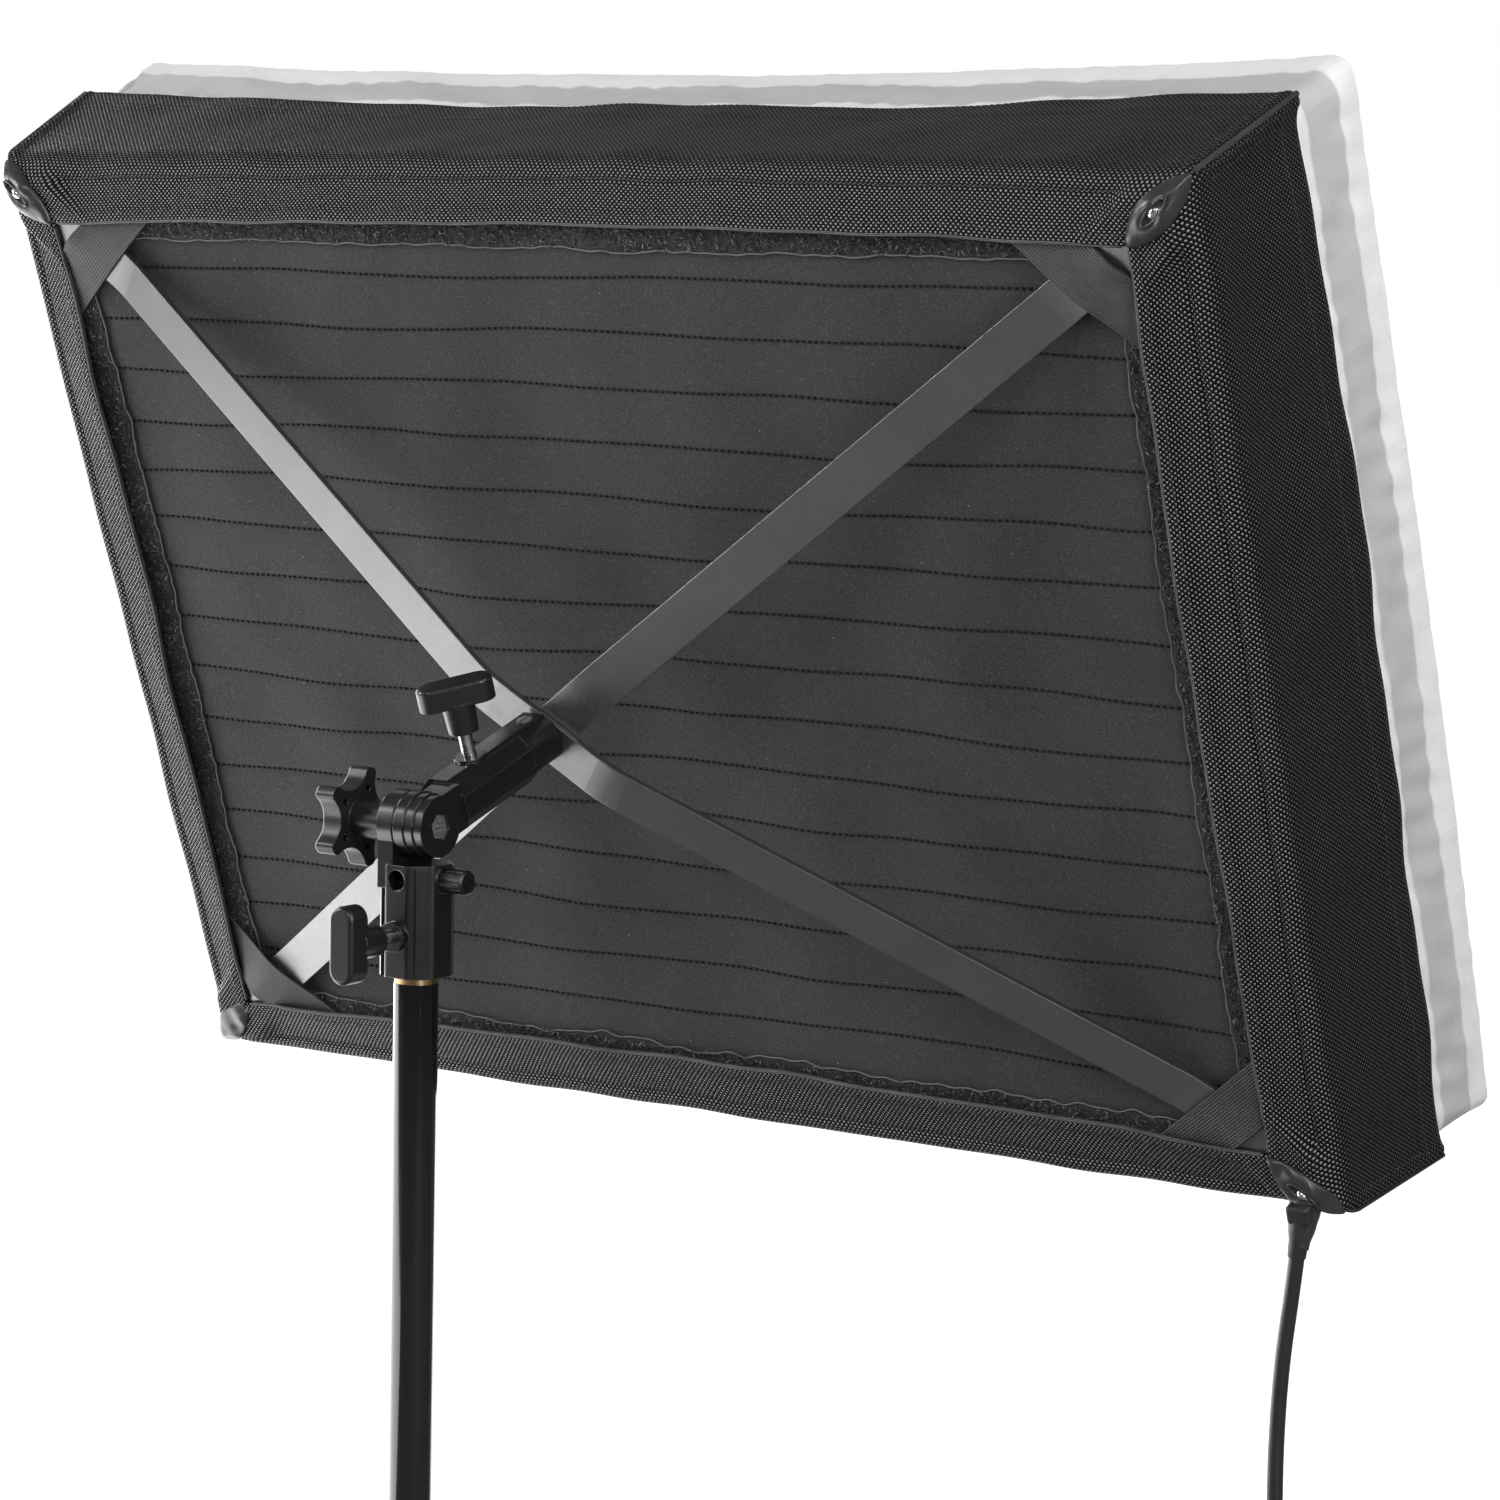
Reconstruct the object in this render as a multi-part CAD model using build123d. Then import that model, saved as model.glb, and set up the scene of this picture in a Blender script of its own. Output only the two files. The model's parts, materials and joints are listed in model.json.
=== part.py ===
from build123d import *
from math import atan2, cos, degrees, radians, sin, tan
import os

# A softbox with a flexible LED mat, held on the top section of a light stand by a tilt head.
# Row frame: origin at the centre of the stand section's lower end, +Z up the stand, +Y the way
# the lamp shines, +X to the right when it is seen from behind. Millimetres.
# The lamp is drawn level first: X across, Y forward from the tilt axis, Z up. lamp() tilts it.

# ---- driving dimensions -------------------------------------------------------------------------
TUBE_R = 9.5                 # stand section, outer radius
TUBE_WALL = 1.2
TUBE_LENGTH = 300.0
COLLAR_HEIGHT = 3.1          # brass shoulder between the tube and the head
STUD_R = 8.0                 # 16 mm stud of stand and lamp
RUNNING = 0.05               # radial clearance of running fits
FACE_GAP = 0.1               # gap between faces that slide or turn on each other

SOCKET_BOTTOM = -63.7        # heights of the head, from the tilt axis
SOCKET_TOP = -16.0
SOCKET_AF = 28.0             # across the socket's flats
UMBRELLA_Z = -22.3
UMBRELLA_R = 4.3
STAND_LOCK_Z = -46.0
PIVOT_R = 14.4
TILT_AXIS_HEIGHT = TUBE_LENGTH + COLLAR_HEIGHT + FACE_GAP - SOCKET_BOTTOM
TILT = 20.0                  # the lamp points up this many degrees at rest

EAR_X = (-11.0, -3.0)        # the socket's one ear, from face to face
ARM_X = (-2.2, 12.0)         # the upper casting's pivot end
BARREL_AF = 24.6
BARREL_Y = (18.0, 70.0)
SPIGOT_LOCK_Y = 40.8
HUB_Y = (70.2, 89.0)         # sleeve between the head and the cross bars
HUB_R = 11.3
HUB_SCREW_Y = 80.0

M6_R = 3.0
M5_R = 2.5
M4_R = 2.0

BAR_WIDTH = 20.0             # flat cross bars
BAR_THICKNESS = 2.5
BAR_FLAT = 36.0              # half length of the flat at the hub
BAR_KNEE = 313.0             # from the hub's axis to the bend before the tip
BAR_TIP = 372.0
BAR_TIP_Y = 163.65           # mid plane of the tips

RIM_Y = 161.5                # inner edge of the rear flange
RIM_HALF = (289.0, 205.0)
FLANGE_IN_PLANE = 7.0        # the flange's thickness measured across the lamp's axis
FOLD_Y = 170.0               # rear fold of the skirt
FOLD_HALF = (319.0, 234.0)
SKIRT_FRONT_Y = 240.0
SKIRT_FRONT_HALF = (328.0, 242.0)
SKIRT_THICKNESS = 2.0
TAPE_THICKNESS = 1.2
LOOP_THICKNESS = 1.0
SOFT_GAP = 0.3
CAP_REAR_Y = 226.0           # the diffuser's edge, inside the skirt
CAP_FRONT_Y = 284.0
CLOTH = 1.2                  # diffuser cloth, with its lining

MAT_HALF = (302.0, 217.5)
MAT_Y = (166.6, 170.6)
LED_ROWS = 14
LED_COLUMNS = 22
LED_PITCH = (25.0, 25.6)     # along a row, and from row to row
LED_MIDDLE = 2.8             # height of the rows' middle on the mat

STRAP_WIDTH = 30.0
ROD_R = 2.0
CABLE_R = 3.5

SIDES = ("top", "bottom", "left", "right")
CORNERS = {"top_left": (-1, 1), "top_right": (1, 1), "bottom_left": (-1, -1), "bottom_right": (1, -1)}
DIAGONAL = degrees(atan2(FOLD_HALF[1] - 7.0, FOLD_HALF[0]))

os.makedirs("parts", exist_ok=True)


# ---- placing and shaping helpers ----------------------------------------------------------------
def head(shape):
    """Puts a shape drawn about the tilt axis into the row frame."""
    return Location((0, 0, TILT_AXIS_HEIGHT)) * shape


def lamp(shape):
    """Puts a shape of the level lamp into the row frame, tilted."""
    return Location((0, 0, TILT_AXIS_HEIGHT)) * Rotation(TILT, 0, 0) * shape


def lamp_group(shapes):
    """Several separate solids of the level lamp as one node."""
    return Compound(children=[lamp(shape) for shape in shapes])


def rod_between(start, end, radius):
    """A cylinder from one point to another."""
    axis = Vector(*end) - Vector(*start)
    return Plane(origin=start, z_dir=axis) * Cylinder(
        radius, axis.length, align=(Align.CENTER, Align.CENTER, Align.MIN)
    )


def block(x, y, z):
    """A box from three (low, high) pairs."""
    return Location((sum(x) / 2, sum(y) / 2, sum(z) / 2)) * Box(x[1] - x[0], y[1] - y[0], z[1] - z[0])


def across_lamp(y):
    """The plane across the level lamp's axis at y: its own x is X and its own y is Z."""
    return Plane(origin=(0, y, 0), x_dir=(1, 0, 0), z_dir=(0, -1, 0))


def polygon(y, points):
    return across_lamp(y) * make_face(Polyline(*points, close=True))


def slab(y, depth, points):
    """A flat piece with the given outline, from y forward by depth."""
    return extrude(polygon(y, points), amount=depth, dir=(0, 1, 0))


def side_outline(side, outer, inner):
    """One side of a picture frame with mitred ends. outer and inner are (half width, half height)."""
    a, b = outer
    c, d = inner
    return {
        "top": [(-a, b), (a, b), (c, d), (-c, d)],
        "bottom": [(-a, -b), (a, -b), (c, -d), (-c, -d)],
        "left": [(-a, -b), (-a, b), (-c, d), (-c, -d)],
        "right": [(a, -b), (a, b), (c, d), (c, -d)],
    }[side]


def box_half(y, inset=0.0):
    """The softbox's half width and half height at y, less an inset."""
    t = (y - FOLD_Y) / (SKIRT_FRONT_Y - FOLD_Y)
    return tuple(f + (g - f) * t - inset for f, g in zip(FOLD_HALF, SKIRT_FRONT_HALF))


def flared_wall(side, y_range, outer_inset, inner_inset):
    """One wall of the flared box, between two insets from its outer surface."""
    sections = [
        polygon(y, side_outline(side, box_half(y, outer_inset), box_half(y, inner_inset))) for y in y_range
    ]
    return loft(sections, ruled=True)


def towards_corner(corner):
    """Turns +X of the level lamp towards a corner."""
    sx, sz = CORNERS[corner]
    angle = degrees(atan2(sz * sin(radians(DIAGONAL)), sx * cos(radians(DIAGONAL))))
    return Rotation(0, -angle, 0)


def bent_bar(points, radii, width, thickness):
    """A flat bar along points in the XY plane that start along +X, its width along Z."""
    path = FilletPolyline(*points, radius=radii)
    section = Plane(origin=path @ 0, x_dir=(0, 0, 1), z_dir=(1, 0, 0)) * Rectangle(width, thickness)
    return sweep(section, path=path)


def round_path(points, radius, radii):
    """A round bar along straight runs joined by tangent arcs."""
    path = FilletPolyline(*points, radius=radii)
    return sweep(Plane(origin=path @ 0, z_dir=path % 0) * Circle(radius), path=path), path.length


def wide_radii(points, share=0.45):
    """The largest tangent arc that each corner's two runs allow."""
    corners = [Vector(*p) for p in points]
    radii = []
    for a, b, c in zip(corners, corners[1:], corners[2:]):
        turn = radians((b - a).get_angle(c - b))
        radii.append(share * min((b - a).length, (c - b).length) / tan(turn / 2))
    return radii


# ---- stand section ------------------------------------------------------------------------------
def stand_tube():
    wall = Cylinder(TUBE_R, TUBE_LENGTH) - Cylinder(TUBE_R - TUBE_WALL, TUBE_LENGTH + 1)
    return Location((0, 0, TUBE_LENGTH / 2)) * wall


def stand_spigot():
    """Turned brass stud: plug in the tube, shoulder, and a stem with a waist for the lock screw."""
    profile = Polyline(
        (0, -86.9), (8.25, -86.9), (8.25, -66.9), (9.3, -66.9), (9.3, -64.3), (8.9, -63.8), (STUD_R, -63.8),
        (STUD_R, -52.0), (6.6, -50.6), (6.6, -41.4), (STUD_R, -40.0), (STUD_R, -31.6), (7.0, -30.6), (0, -30.6),
        close=True,
    )
    return head(revolve(Plane.XZ * make_face(profile), Axis.Z))


def tube_end_plug():
    body = Cylinder(TUBE_R - TUBE_WALL - RUNNING, 14, align=(Align.CENTER, Align.CENTER, Align.MIN))
    return body - Location((0, 0, 9)) * Cylinder(5.5, 10)


# ---- tilt head: socket casting and its screws ---------------------------------------------------
def socket_casting():
    """Eight-sided socket with ribbed corners, one ear for the tilt bolt and two screw bosses."""
    height = SOCKET_TOP - SOCKET_BOTTOM
    base = (Align.CENTER, Align.CENTER, Align.MIN)
    outline = Rotation(0, 0, 22.5) * RegularPolygon(SOCKET_AF / 2, 8, major_radius=False)
    outline = fillet(outline.vertices(), 2.5)
    body = extrude(Location((0, 0, SOCKET_BOTTOM)) * outline, amount=height)
    for quarter in range(4):
        rib = Location((14.1, 0, SOCKET_BOTTOM)) * Box(2.4, 4.6, height - 1.0, align=base)
        body += Rotation(0, 0, 45 + 90 * quarter) * rib
    ear = block(EAR_X, (-13.0, 13.0), (UMBRELLA_Z - 4, 0)) & block(EAR_X, (-13, 13), (-30, 2))
    ear += rod_between((EAR_X[0], 0, 0), (EAR_X[1], 0, 0), PIVOT_R)
    body += ear
    body += rod_between((0, -9, STAND_LOCK_Z), (0, -17.4, STAND_LOCK_Z), 6.4)
    body += rod_between((9, 0, UMBRELLA_Z), (15.0, 0, UMBRELLA_Z), 5.6)
    body -= Location((0, 0, SOCKET_BOTTOM - 1)) * Cylinder(STUD_R + RUNNING, 36, align=base)
    body -= rod_between((0, -20, UMBRELLA_Z), (0, 20, UMBRELLA_Z), UMBRELLA_R)
    body -= rod_between((0, -5, STAND_LOCK_Z), (0, -20, STAND_LOCK_Z), M6_R + RUNNING)
    body -= rod_between((2, 0, UMBRELLA_Z), (20, 0, UMBRELLA_Z), M5_R + RUNNING)
    body -= rod_between((-20, 0, 0), (0, 0, 0), M6_R + RUNNING)
    return head(body)


def tilt_washer():
    x = (EAR_X[1], ARM_X[0] - FACE_GAP)
    return head(rod_between((x[0], 0, 0), (x[1], 0, 0), 13.9) - rod_between((-9, 0, 0), (0, 0, 0), M6_R + RUNNING))


def wing_knob(screw_depth):
    """Moulded T-knob along +Z, its neck's face at z 0: tapered neck, collar and a rounded wing bar."""
    base = (Align.CENTER, Align.CENTER, Align.MIN)
    knob = Cone(6.6, 7.3, 14, align=base)
    wing = extrude(Location((0, 0, 12.6)) * SlotOverall(33, 12.6), amount=10.4)
    for end in (-1, 1):
        wing -= Location((end * 8.6, 0, 12.6)) * Cylinder(2.0, 4, align=base)
    wing = fillet(wing.edges().group_by(Axis.Z)[-1], 2.0)
    knob += wing
    return knob - Cylinder(M6_R + RUNNING, screw_depth, align=base)


def screw_point(origin, outward, distance):
    return tuple(o + d * distance for o, d in zip(origin, outward))


def lock_screw(origin, outward, start, end, radius):
    """A plain shank on the line from origin outward, chamfered at its inner end."""
    shank = rod_between(screw_point(origin, outward, start), screw_point(origin, outward, end), radius)
    return chamfer(shank.edges().sort_by(lambda e: (e.center() - Vector(*origin)).length)[0], 0.5)


def lock_pad(origin, outward, start, thickness, radius):
    return rod_between(
        screw_point(origin, outward, start), screw_point(origin, outward, start + thickness), radius
    )


def place_knob(origin, outward, distance, x_dir, knob):
    return Plane(origin=screw_point(origin, outward, distance), x_dir=x_dir, z_dir=outward) * knob


def umbrella_head():
    """Small fluted screw head along +Z."""
    base = (Align.CENTER, Align.CENTER, Align.MIN)
    grip = chamfer(Cylinder(5.2, 12.0, align=base).edges().group_by(Axis.Z)[-1], 0.8)
    for flute in PolarLocations(5.5, 12):
        grip -= flute * Location((0, 0, 1.5)) * Cylinder(0.7, 9.5, align=base)
    return grip - Cylinder(M5_R + RUNNING, 8, align=base)


def star_knob():
    """Five-lobed knob along +Z: long neck, scalloped wheel, and moulding pockets in its near side."""
    base = (Align.CENTER, Align.CENTER, Align.MIN)
    neck_length = 18.5
    wheel = Circle(22.0)
    for lobe in range(5):
        wheel -= Rotation(0, 0, 54 + 72 * lobe) * Location((24.5, 0)) * Circle(11.2)
    wheel = fillet(wheel.vertices(), 2.6)
    wheel = extrude(Location((0, 0, neck_length)) * wheel, amount=10.5)
    wheel = fillet(wheel.edges().group_by(Axis.Z)[-1], 1.5)
    for lobe in range(5):
        wheel -= Rotation(0, 0, 18 + 72 * lobe) * Location((13.0, 0, neck_length)) * Cylinder(1.5, 5, align=base)
    knob = Cylinder(8.5, neck_length, align=base) + wheel
    return knob - Cylinder(4.6, 22, align=base)


# ---- tilt head: upper casting -------------------------------------------------------------------
def head_casting():
    """Stepped pivot end and an eight-sided barrel, bored for the lamp's stud."""
    steps = ((ARM_X[0], 3.0, PIVOT_R), (3.0, 7.5, 13.8), (7.5, ARM_X[1], 13.1))
    body = rod_between((steps[0][0], 0, 0), (steps[0][1], 0, 0), steps[0][2])
    for low, high, radius in steps[1:]:
        body += rod_between((low, 0, 0), (high, 0, 0), radius)
    body += block((ARM_X[0], 10.6), (2, BARREL_Y[0] + 1), (-9.0, 11.0))
    barrel = across_lamp(BARREL_Y[0]) * Rotation(0, 0, 22.5) * RegularPolygon(BARREL_AF / 2, 8, major_radius=False)
    barrel = extrude(barrel, amount=BARREL_Y[1] - BARREL_Y[0], dir=(0, 1, 0))
    barrel -= Location((0, BARREL_Y[0], -BARREL_AF / 2)) * Rotation(45, 0, 0) * Box(40, 6, 6)
    body += barrel
    body += rod_between((0, SPIGOT_LOCK_Y, 8), (0, SPIGOT_LOCK_Y, 13.4), 6.8)
    for side in (-1, 1):
        pocket = Location((side * 12.6, 52, 0)) * Box(1.6, 30, 6.4)
        body -= pocket
        body -= Rotation(0, side * -45, 0) * pocket
    body -= rod_between((0, 24, 0), (0, 75, 0), STUD_R + RUNNING)
    body -= rod_between((0, SPIGOT_LOCK_Y, 5), (0, SPIGOT_LOCK_Y, 20), M6_R + RUNNING)
    body -= rod_between((-5, 0, 0), (14, 0, 0), M6_R + RUNNING)
    recess = Plane(origin=(7.4, 0, 0), z_dir=(1, 0, 0)) * RegularPolygon(5.15, 6, major_radius=False)
    body -= extrude(recess, amount=6)
    return lamp(body)


def tilt_bolt():
    hexagon = Plane(origin=(7.45, 0, 0), z_dir=(1, 0, 0)) * RegularPolygon(5.0, 6, major_radius=False)
    return lamp(extrude(hexagon, amount=3.6) + rod_between((7.5, 0, 0), (-29, 0, 0), M6_R))


# ---- lamp: hub and cross bars -------------------------------------------------------------------
def hub_spigot():
    """The lamp's stud: a stem with a waist, turning in the upper casting."""
    profile = Polyline(
        (0, 26), (7.2, 26), (STUD_R, 26.8), (STUD_R, 35.4), (6.7, 36.8), (6.7, 44.8), (STUD_R, 46.2),
        (STUD_R, 88.9), (0, 88.9), close=True,
    )
    stem = revolve(make_face(profile), Axis.Y)
    stem -= rod_between((0, 76, 0), (0, 90, 0), M6_R + RUNNING)
    return lamp(stem - rod_between((0, HUB_SCREW_Y, 4), (0, HUB_SCREW_Y, 12), M4_R + RUNNING))


def hub_sleeve():
    """Sleeve pinned on the stud, with a flat pad for its screw."""
    body = rod_between((0, HUB_Y[0], 0), (0, HUB_Y[1], 0), HUB_R)
    body = fillet(body.edges().group_by(Axis.Y)[-1], 1.0)
    body += block((-5.5, 5.5), (HUB_Y[0], 87.0), (6, 12.1))
    body -= rod_between((0, 69, 0), (0, 91, 0), STUD_R + RUNNING)
    body -= rod_between((0, HUB_SCREW_Y, 6), (0, HUB_SCREW_Y, 14), M4_R + RUNNING)
    return lamp(body - rod_between((0, HUB_SCREW_Y, 10.4), (0, HUB_SCREW_Y, 14), 3.6))


def hub_screw():
    """Slotted cheese-head screw."""
    y = HUB_SCREW_Y
    screw = rod_between((0, y, 4.6), (0, y, 10.5), M4_R) + rod_between((0, y, 10.45), (0, y, 12.4), 3.4)
    return lamp(screw - block((-0.5, 0.5), (y - 5, y + 5), (11.5, 13)))


def bar_centre_y(layer):
    """Mid plane of a cross bar at the hub: layer 0 lies on the sleeve, layer 1 on layer 0."""
    return HUB_Y[1] + FACE_GAP + BAR_THICKNESS / 2 + layer * (BAR_THICKNESS + 0.2)


def cross_bar(corner, layer):
    flat_y = bar_centre_y(layer)
    points = [
        (-BAR_TIP, BAR_TIP_Y), (-BAR_KNEE, BAR_TIP_Y), (-BAR_FLAT, flat_y),
        (BAR_FLAT, flat_y), (BAR_KNEE, BAR_TIP_Y), (BAR_TIP, BAR_TIP_Y),
    ]
    bar = bent_bar(points, [60, 60, 60, 60], BAR_WIDTH, BAR_THICKNESS)
    bar -= rod_between((0, flat_y - 5, 0), (0, flat_y + 5, 0), M6_R + RUNNING)
    return lamp(towards_corner(corner) * bar)


def bars_front_y():
    return bar_centre_y(1) + BAR_THICKNESS / 2


def hub_washer():
    y = bars_front_y() + FACE_GAP
    return lamp(rod_between((0, y, 0), (0, y + 1.2, 0), 7.5) - rod_between((0, y - 1, 0), (0, y + 2, 0), M6_R + RUNNING))


def hub_bolt():
    """Button-head bolt that clamps both bars on the stud."""
    y = bars_front_y() + FACE_GAP + 1.25
    bolt = rod_between((0, y, 0), (0, y + 3.2, 0), 5.4)
    bolt = fillet(bolt.edges().group_by(Axis.Y)[-1], 1.8)
    bolt += rod_between((0, 78, 0), (0, y + 0.1, 0), M6_R)
    hexagon = across_lamp(y + 1.6) * RegularPolygon(2.0, 6, major_radius=False)
    return lamp(bolt - extrude(hexagon, amount=3, dir=(0, 1, 0)))


# ---- lamp: LED mat ------------------------------------------------------------------------------
def led_mat():
    a, b = MAT_HALF
    cut = 9.0
    outline = []
    for sx, sz in ((1, 1), (-1, 1), (-1, -1), (1, -1)):
        ends = [(sx * (a - cut), sz * b), (sx * a, sz * (b - cut))]
        outline += ends if sx * sz < 0 else ends[::-1]
    return lamp(slab(MAT_Y[0], MAT_Y[1] - MAT_Y[0], outline))


def led_rows():
    return [LED_MIDDLE + (row - (LED_ROWS - 1) / 2) * LED_PITCH[1] for row in range(LED_ROWS)]


def led_strips():
    """Flexible circuit strips on the mat's front face."""
    strips = [block((-282, 282), (MAT_Y[1] + 0.02, MAT_Y[1] + 0.5), (z - 5, z + 5)) for z in led_rows()]
    return lamp_group(strips)


def led_emitters():
    chips = []
    for z in led_rows():
        for column in range(LED_COLUMNS):
            x = (column - (LED_COLUMNS - 1) / 2) * LED_PITCH[0]
            y = MAT_Y[1] + 0.55
            chips.append(block((x - 1.75, x + 1.75), (y, y + 1.2), (z - 1.4, z + 1.4)))
    return lamp_group(chips)


def loop_band():
    """Fuzzy fastener strips round the mat's back, which the rear flange sticks to."""
    y = MAT_Y[0] - TAPE_THICKNESS - 0.02
    strips = [
        slab(y, TAPE_THICKNESS, [(-250, z), (250, z), (250, z + 17), (-250, z + 17)]) for z in (197, -214)
    ]
    strips += [
        slab(y, TAPE_THICKNESS, [(x, -166), (x + 19.5, -166), (x + 19.5, 166), (x, 166)]) for x in (278, -297.5)
    ]
    return lamp_group(strips)


def corner_strap(corner):
    """Webbing sewn across the mat's corner, over the bar's tip."""
    sx, sz = CORNERS[corner]
    edge = (RIM_HALF[0] - 0.6, RIM_HALF[1] - 0.6)
    low, high = (240.0, edge[1]), (edge[0], 163.0)
    outline = [low, (low[0] + STRAP_WIDTH * 1.15, edge[1]), (edge[0], high[1] + STRAP_WIDTH * 1.05), high]
    return lamp(slab(RIM_Y - 1.2, 1.3, [(sx * x, sz * z) for x, z in outline]))


# ---- lamp: black softbox skirt ------------------------------------------------------------------
def pocket_shape(outer):
    """A corner pocket drawn along +X: the space of the whole pocket, or only the slot inside it."""
    if outer:
        body = block((353.0, 379.5), (161.25, 166.2), (-12.6, 12.6))
        return fillet(body.edges().filter_by(Axis.Y).group_by(Axis.X)[-1], 6)
    return block((350, BAR_TIP + 0.6), (162.1, 165.2), (-10.4, 10.4))


def corner_pocket(corner):
    return lamp(towards_corner(corner) * (pocket_shape(True) - pocket_shape(False)))


def corner_clearance():
    """What the rear flange leaves free for bar tips, straps and pockets at one corner."""
    return block((300, 400), (150, 166.8), (-14.5, 14.5))


def rear_flange(side):
    """Inward strip of the skirt, from its rear fold to the inner edge."""
    inner = [
        polygon(y, side_outline(side, tuple(h + extra for h in half), tuple(h + extra - FLANGE_IN_PLANE for h in half)))
        for y, half, extra in ((RIM_Y, RIM_HALF, FLANGE_IN_PLANE), (FOLD_Y - 0.05, FOLD_HALF, 0.0))
    ]
    strip = loft(inner, ruled=True)
    for corner in CORNERS:
        strip -= towards_corner(corner) * corner_clearance()
    return lamp(strip)


def skirt_panel(side):
    return lamp(flared_wall(side, (FOLD_Y, SKIRT_FRONT_Y), 0.0, SKIRT_THICKNESS))


def skirt_hook_tape():
    inset = SKIRT_THICKNESS + 0.02
    strips = [flared_wall(side, (222, 238), inset, inset + TAPE_THICKNESS) for side in SIDES]
    return lamp_group(strips)


def rod_route():
    """A corner rod's route in the corner's own quarter: along the seam, then straight forward."""
    return [(305.5, 173.0, 220.5), (314.0, 226.0, 229.0), (314.0, 280.5, 229.0)]


def corner_rods():
    rods = []
    for sx, sz in CORNERS.values():
        points = [(sx * x, y, sz * z) for x, y, z in rod_route()]
        rods.append(round_path(points, ROD_R, [40])[0])
    return lamp_group(rods)


def rod_tips():
    x, y, z = rod_route()[-1]
    tips = []
    for sx, sz in CORNERS.values():
        tip = rod_between((sx * x, y - 9, sz * z), (sx * x, y + 2.4, sz * z), 3.2)
        tip = fillet(tip.edges().group_by(Axis.Y)[-1], 1.4)
        tips.append(tip - rod_between((sx * x, y - 10, sz * z), (sx * x, y + 0.1, sz * z), ROD_R + RUNNING))
    return lamp_group(tips)


# ---- diffuser -----------------------------------------------------------------------------------
def cap_inset():
    return SKIRT_THICKNESS + TAPE_THICKNESS + SOFT_GAP + LOOP_THICKNESS


def diffuser_wall(side):
    return lamp(flared_wall(side, (CAP_REAR_Y, CAP_FRONT_Y), cap_inset(), cap_inset() + CLOTH))


def diffuser_face():
    a, b = box_half(CAP_FRONT_Y, cap_inset())
    return lamp(slab(CAP_FRONT_Y, CLOTH, [(-a, -b), (a, -b), (a, b), (-a, b)]))


def diffuser_loop_tape():
    inset = cap_inset() - 0.02
    strips = [flared_wall(side, (CAP_REAR_Y, 239.5), inset - LOOP_THICKNESS, inset) for side in SIDES]
    return lamp_group(strips)


# ---- mat cable ----------------------------------------------------------------------------------
# The route starts in the strain relief and hangs down to the connector. Heights from the tilt axis.
CABLE_ROUTE = [
    (300.5, 226.5, -180.0), (298.0, 227.5, -199.0), (294.0, 228.6, -227.0), (292.0, 229.2, -262.0),
    (293.0, 228.8, -304.0), (295.6, 227.6, -349.0), (296.8, 226.4, -393.0), (296.0, 226.0, -434.0),
    (295.0, 226.0, -466.0),
]


def cable_gland():
    """Moulded anchor on the corner pocket, with a tapered strain relief."""
    top = (302.6, 225.6, -163.0)
    end = CABLE_ROUTE[0]
    axis = Vector(*end) - Vector(*top)
    taper = Plane(origin=top, z_dir=axis) * Cone(4.7, 4.0, axis.length, align=(Align.CENTER, Align.CENTER, Align.MIN))
    anchor = Location((303.0, 223.7, -160.4)) * Rotation(TILT, 0, 0) * fillet(Box(11, 7.5, 9).edges(), 2.0)
    return head(anchor + taper)


def mat_cable():
    radii = wide_radii(CABLE_ROUTE)
    tube, length = round_path(CABLE_ROUTE, CABLE_R, radii)
    print("cable radii", [round(r) for r in radii], "length", round(length, 1))
    print("cable volume ratio", round(tube.volume / (3.14159265 * CABLE_R**2 * length), 4))
    return head(tube)


def connector_frame():
    end, before = Vector(*CABLE_ROUTE[-1]), Vector(*CABLE_ROUTE[-2])
    return Plane(origin=end, z_dir=end - before)


def cable_connector():
    """Round in-line connector: tapered boot, body and contact nose."""
    profile = Polyline(
        (0, 0), (4.3, 0), (5.0, 20), (6.6, 22), (6.6, 44), (5.2, 44), (5.2, 52), (0, 52), close=True
    )
    return head(connector_frame() * revolve(Plane.XZ * make_face(profile), Axis.Z))


def connector_ring():
    base = (Align.CENTER, Align.CENTER, Align.MIN)
    ring = chamfer(Cylinder(7.6, 13, align=base).edges().filter_by(GeomType.CIRCLE), 0.6)
    for groove in PolarLocations(7.9, 16):
        ring -= groove * Location((0, 0, 2)) * Cylinder(0.6, 9, align=base)
    ring -= Cylinder(6.65, 4, align=base)
    ring -= Cylinder(5.25, 14, align=base)
    return head(connector_frame() * Location((0, 0, 40.0)) * ring)


# ---- locks: one set of pad, screw and knob for each clamping screw --------------------------------
def locks():
    stand = ((0, 0, STAND_LOCK_Z), (0, -1, 0))
    umbrella = ((0, 0, UMBRELLA_Z), (1, 0, 0))
    spigot = ((0, SPIGOT_LOCK_Y, 0), (0, 0, 1))
    return {
        "stand_lock_pad": head(lock_pad(*stand, 6.7, 1.6, 2.6)),
        "stand_lock_screw": head(lock_screw(*stand, 8.4, 36.0, M6_R)),
        "stand_lock_knob": head(place_knob(*stand, 27.0, (0, 0, 1), wing_knob(9.2))),
        "umbrella_lock_pad": head(lock_pad(*umbrella, 4.6, 1.4, 2.2)),
        "umbrella_lock_screw": head(lock_screw(*umbrella, 6.1, 22.0, M5_R)),
        "umbrella_lock_head": head(place_knob(*umbrella, 15.4, (0, 1, 0), umbrella_head())),
        "spigot_lock_pad": lamp(lock_pad(*spigot, 6.8, 1.6, 2.6)),
        "spigot_lock_screw": lamp(lock_screw(*spigot, 8.5, 33.8, M6_R)),
        "spigot_lock_knob": lamp(place_knob(*spigot, 25.0, (0.7071, 0.7071, 0), wing_knob(9.0))),
    }


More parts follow.
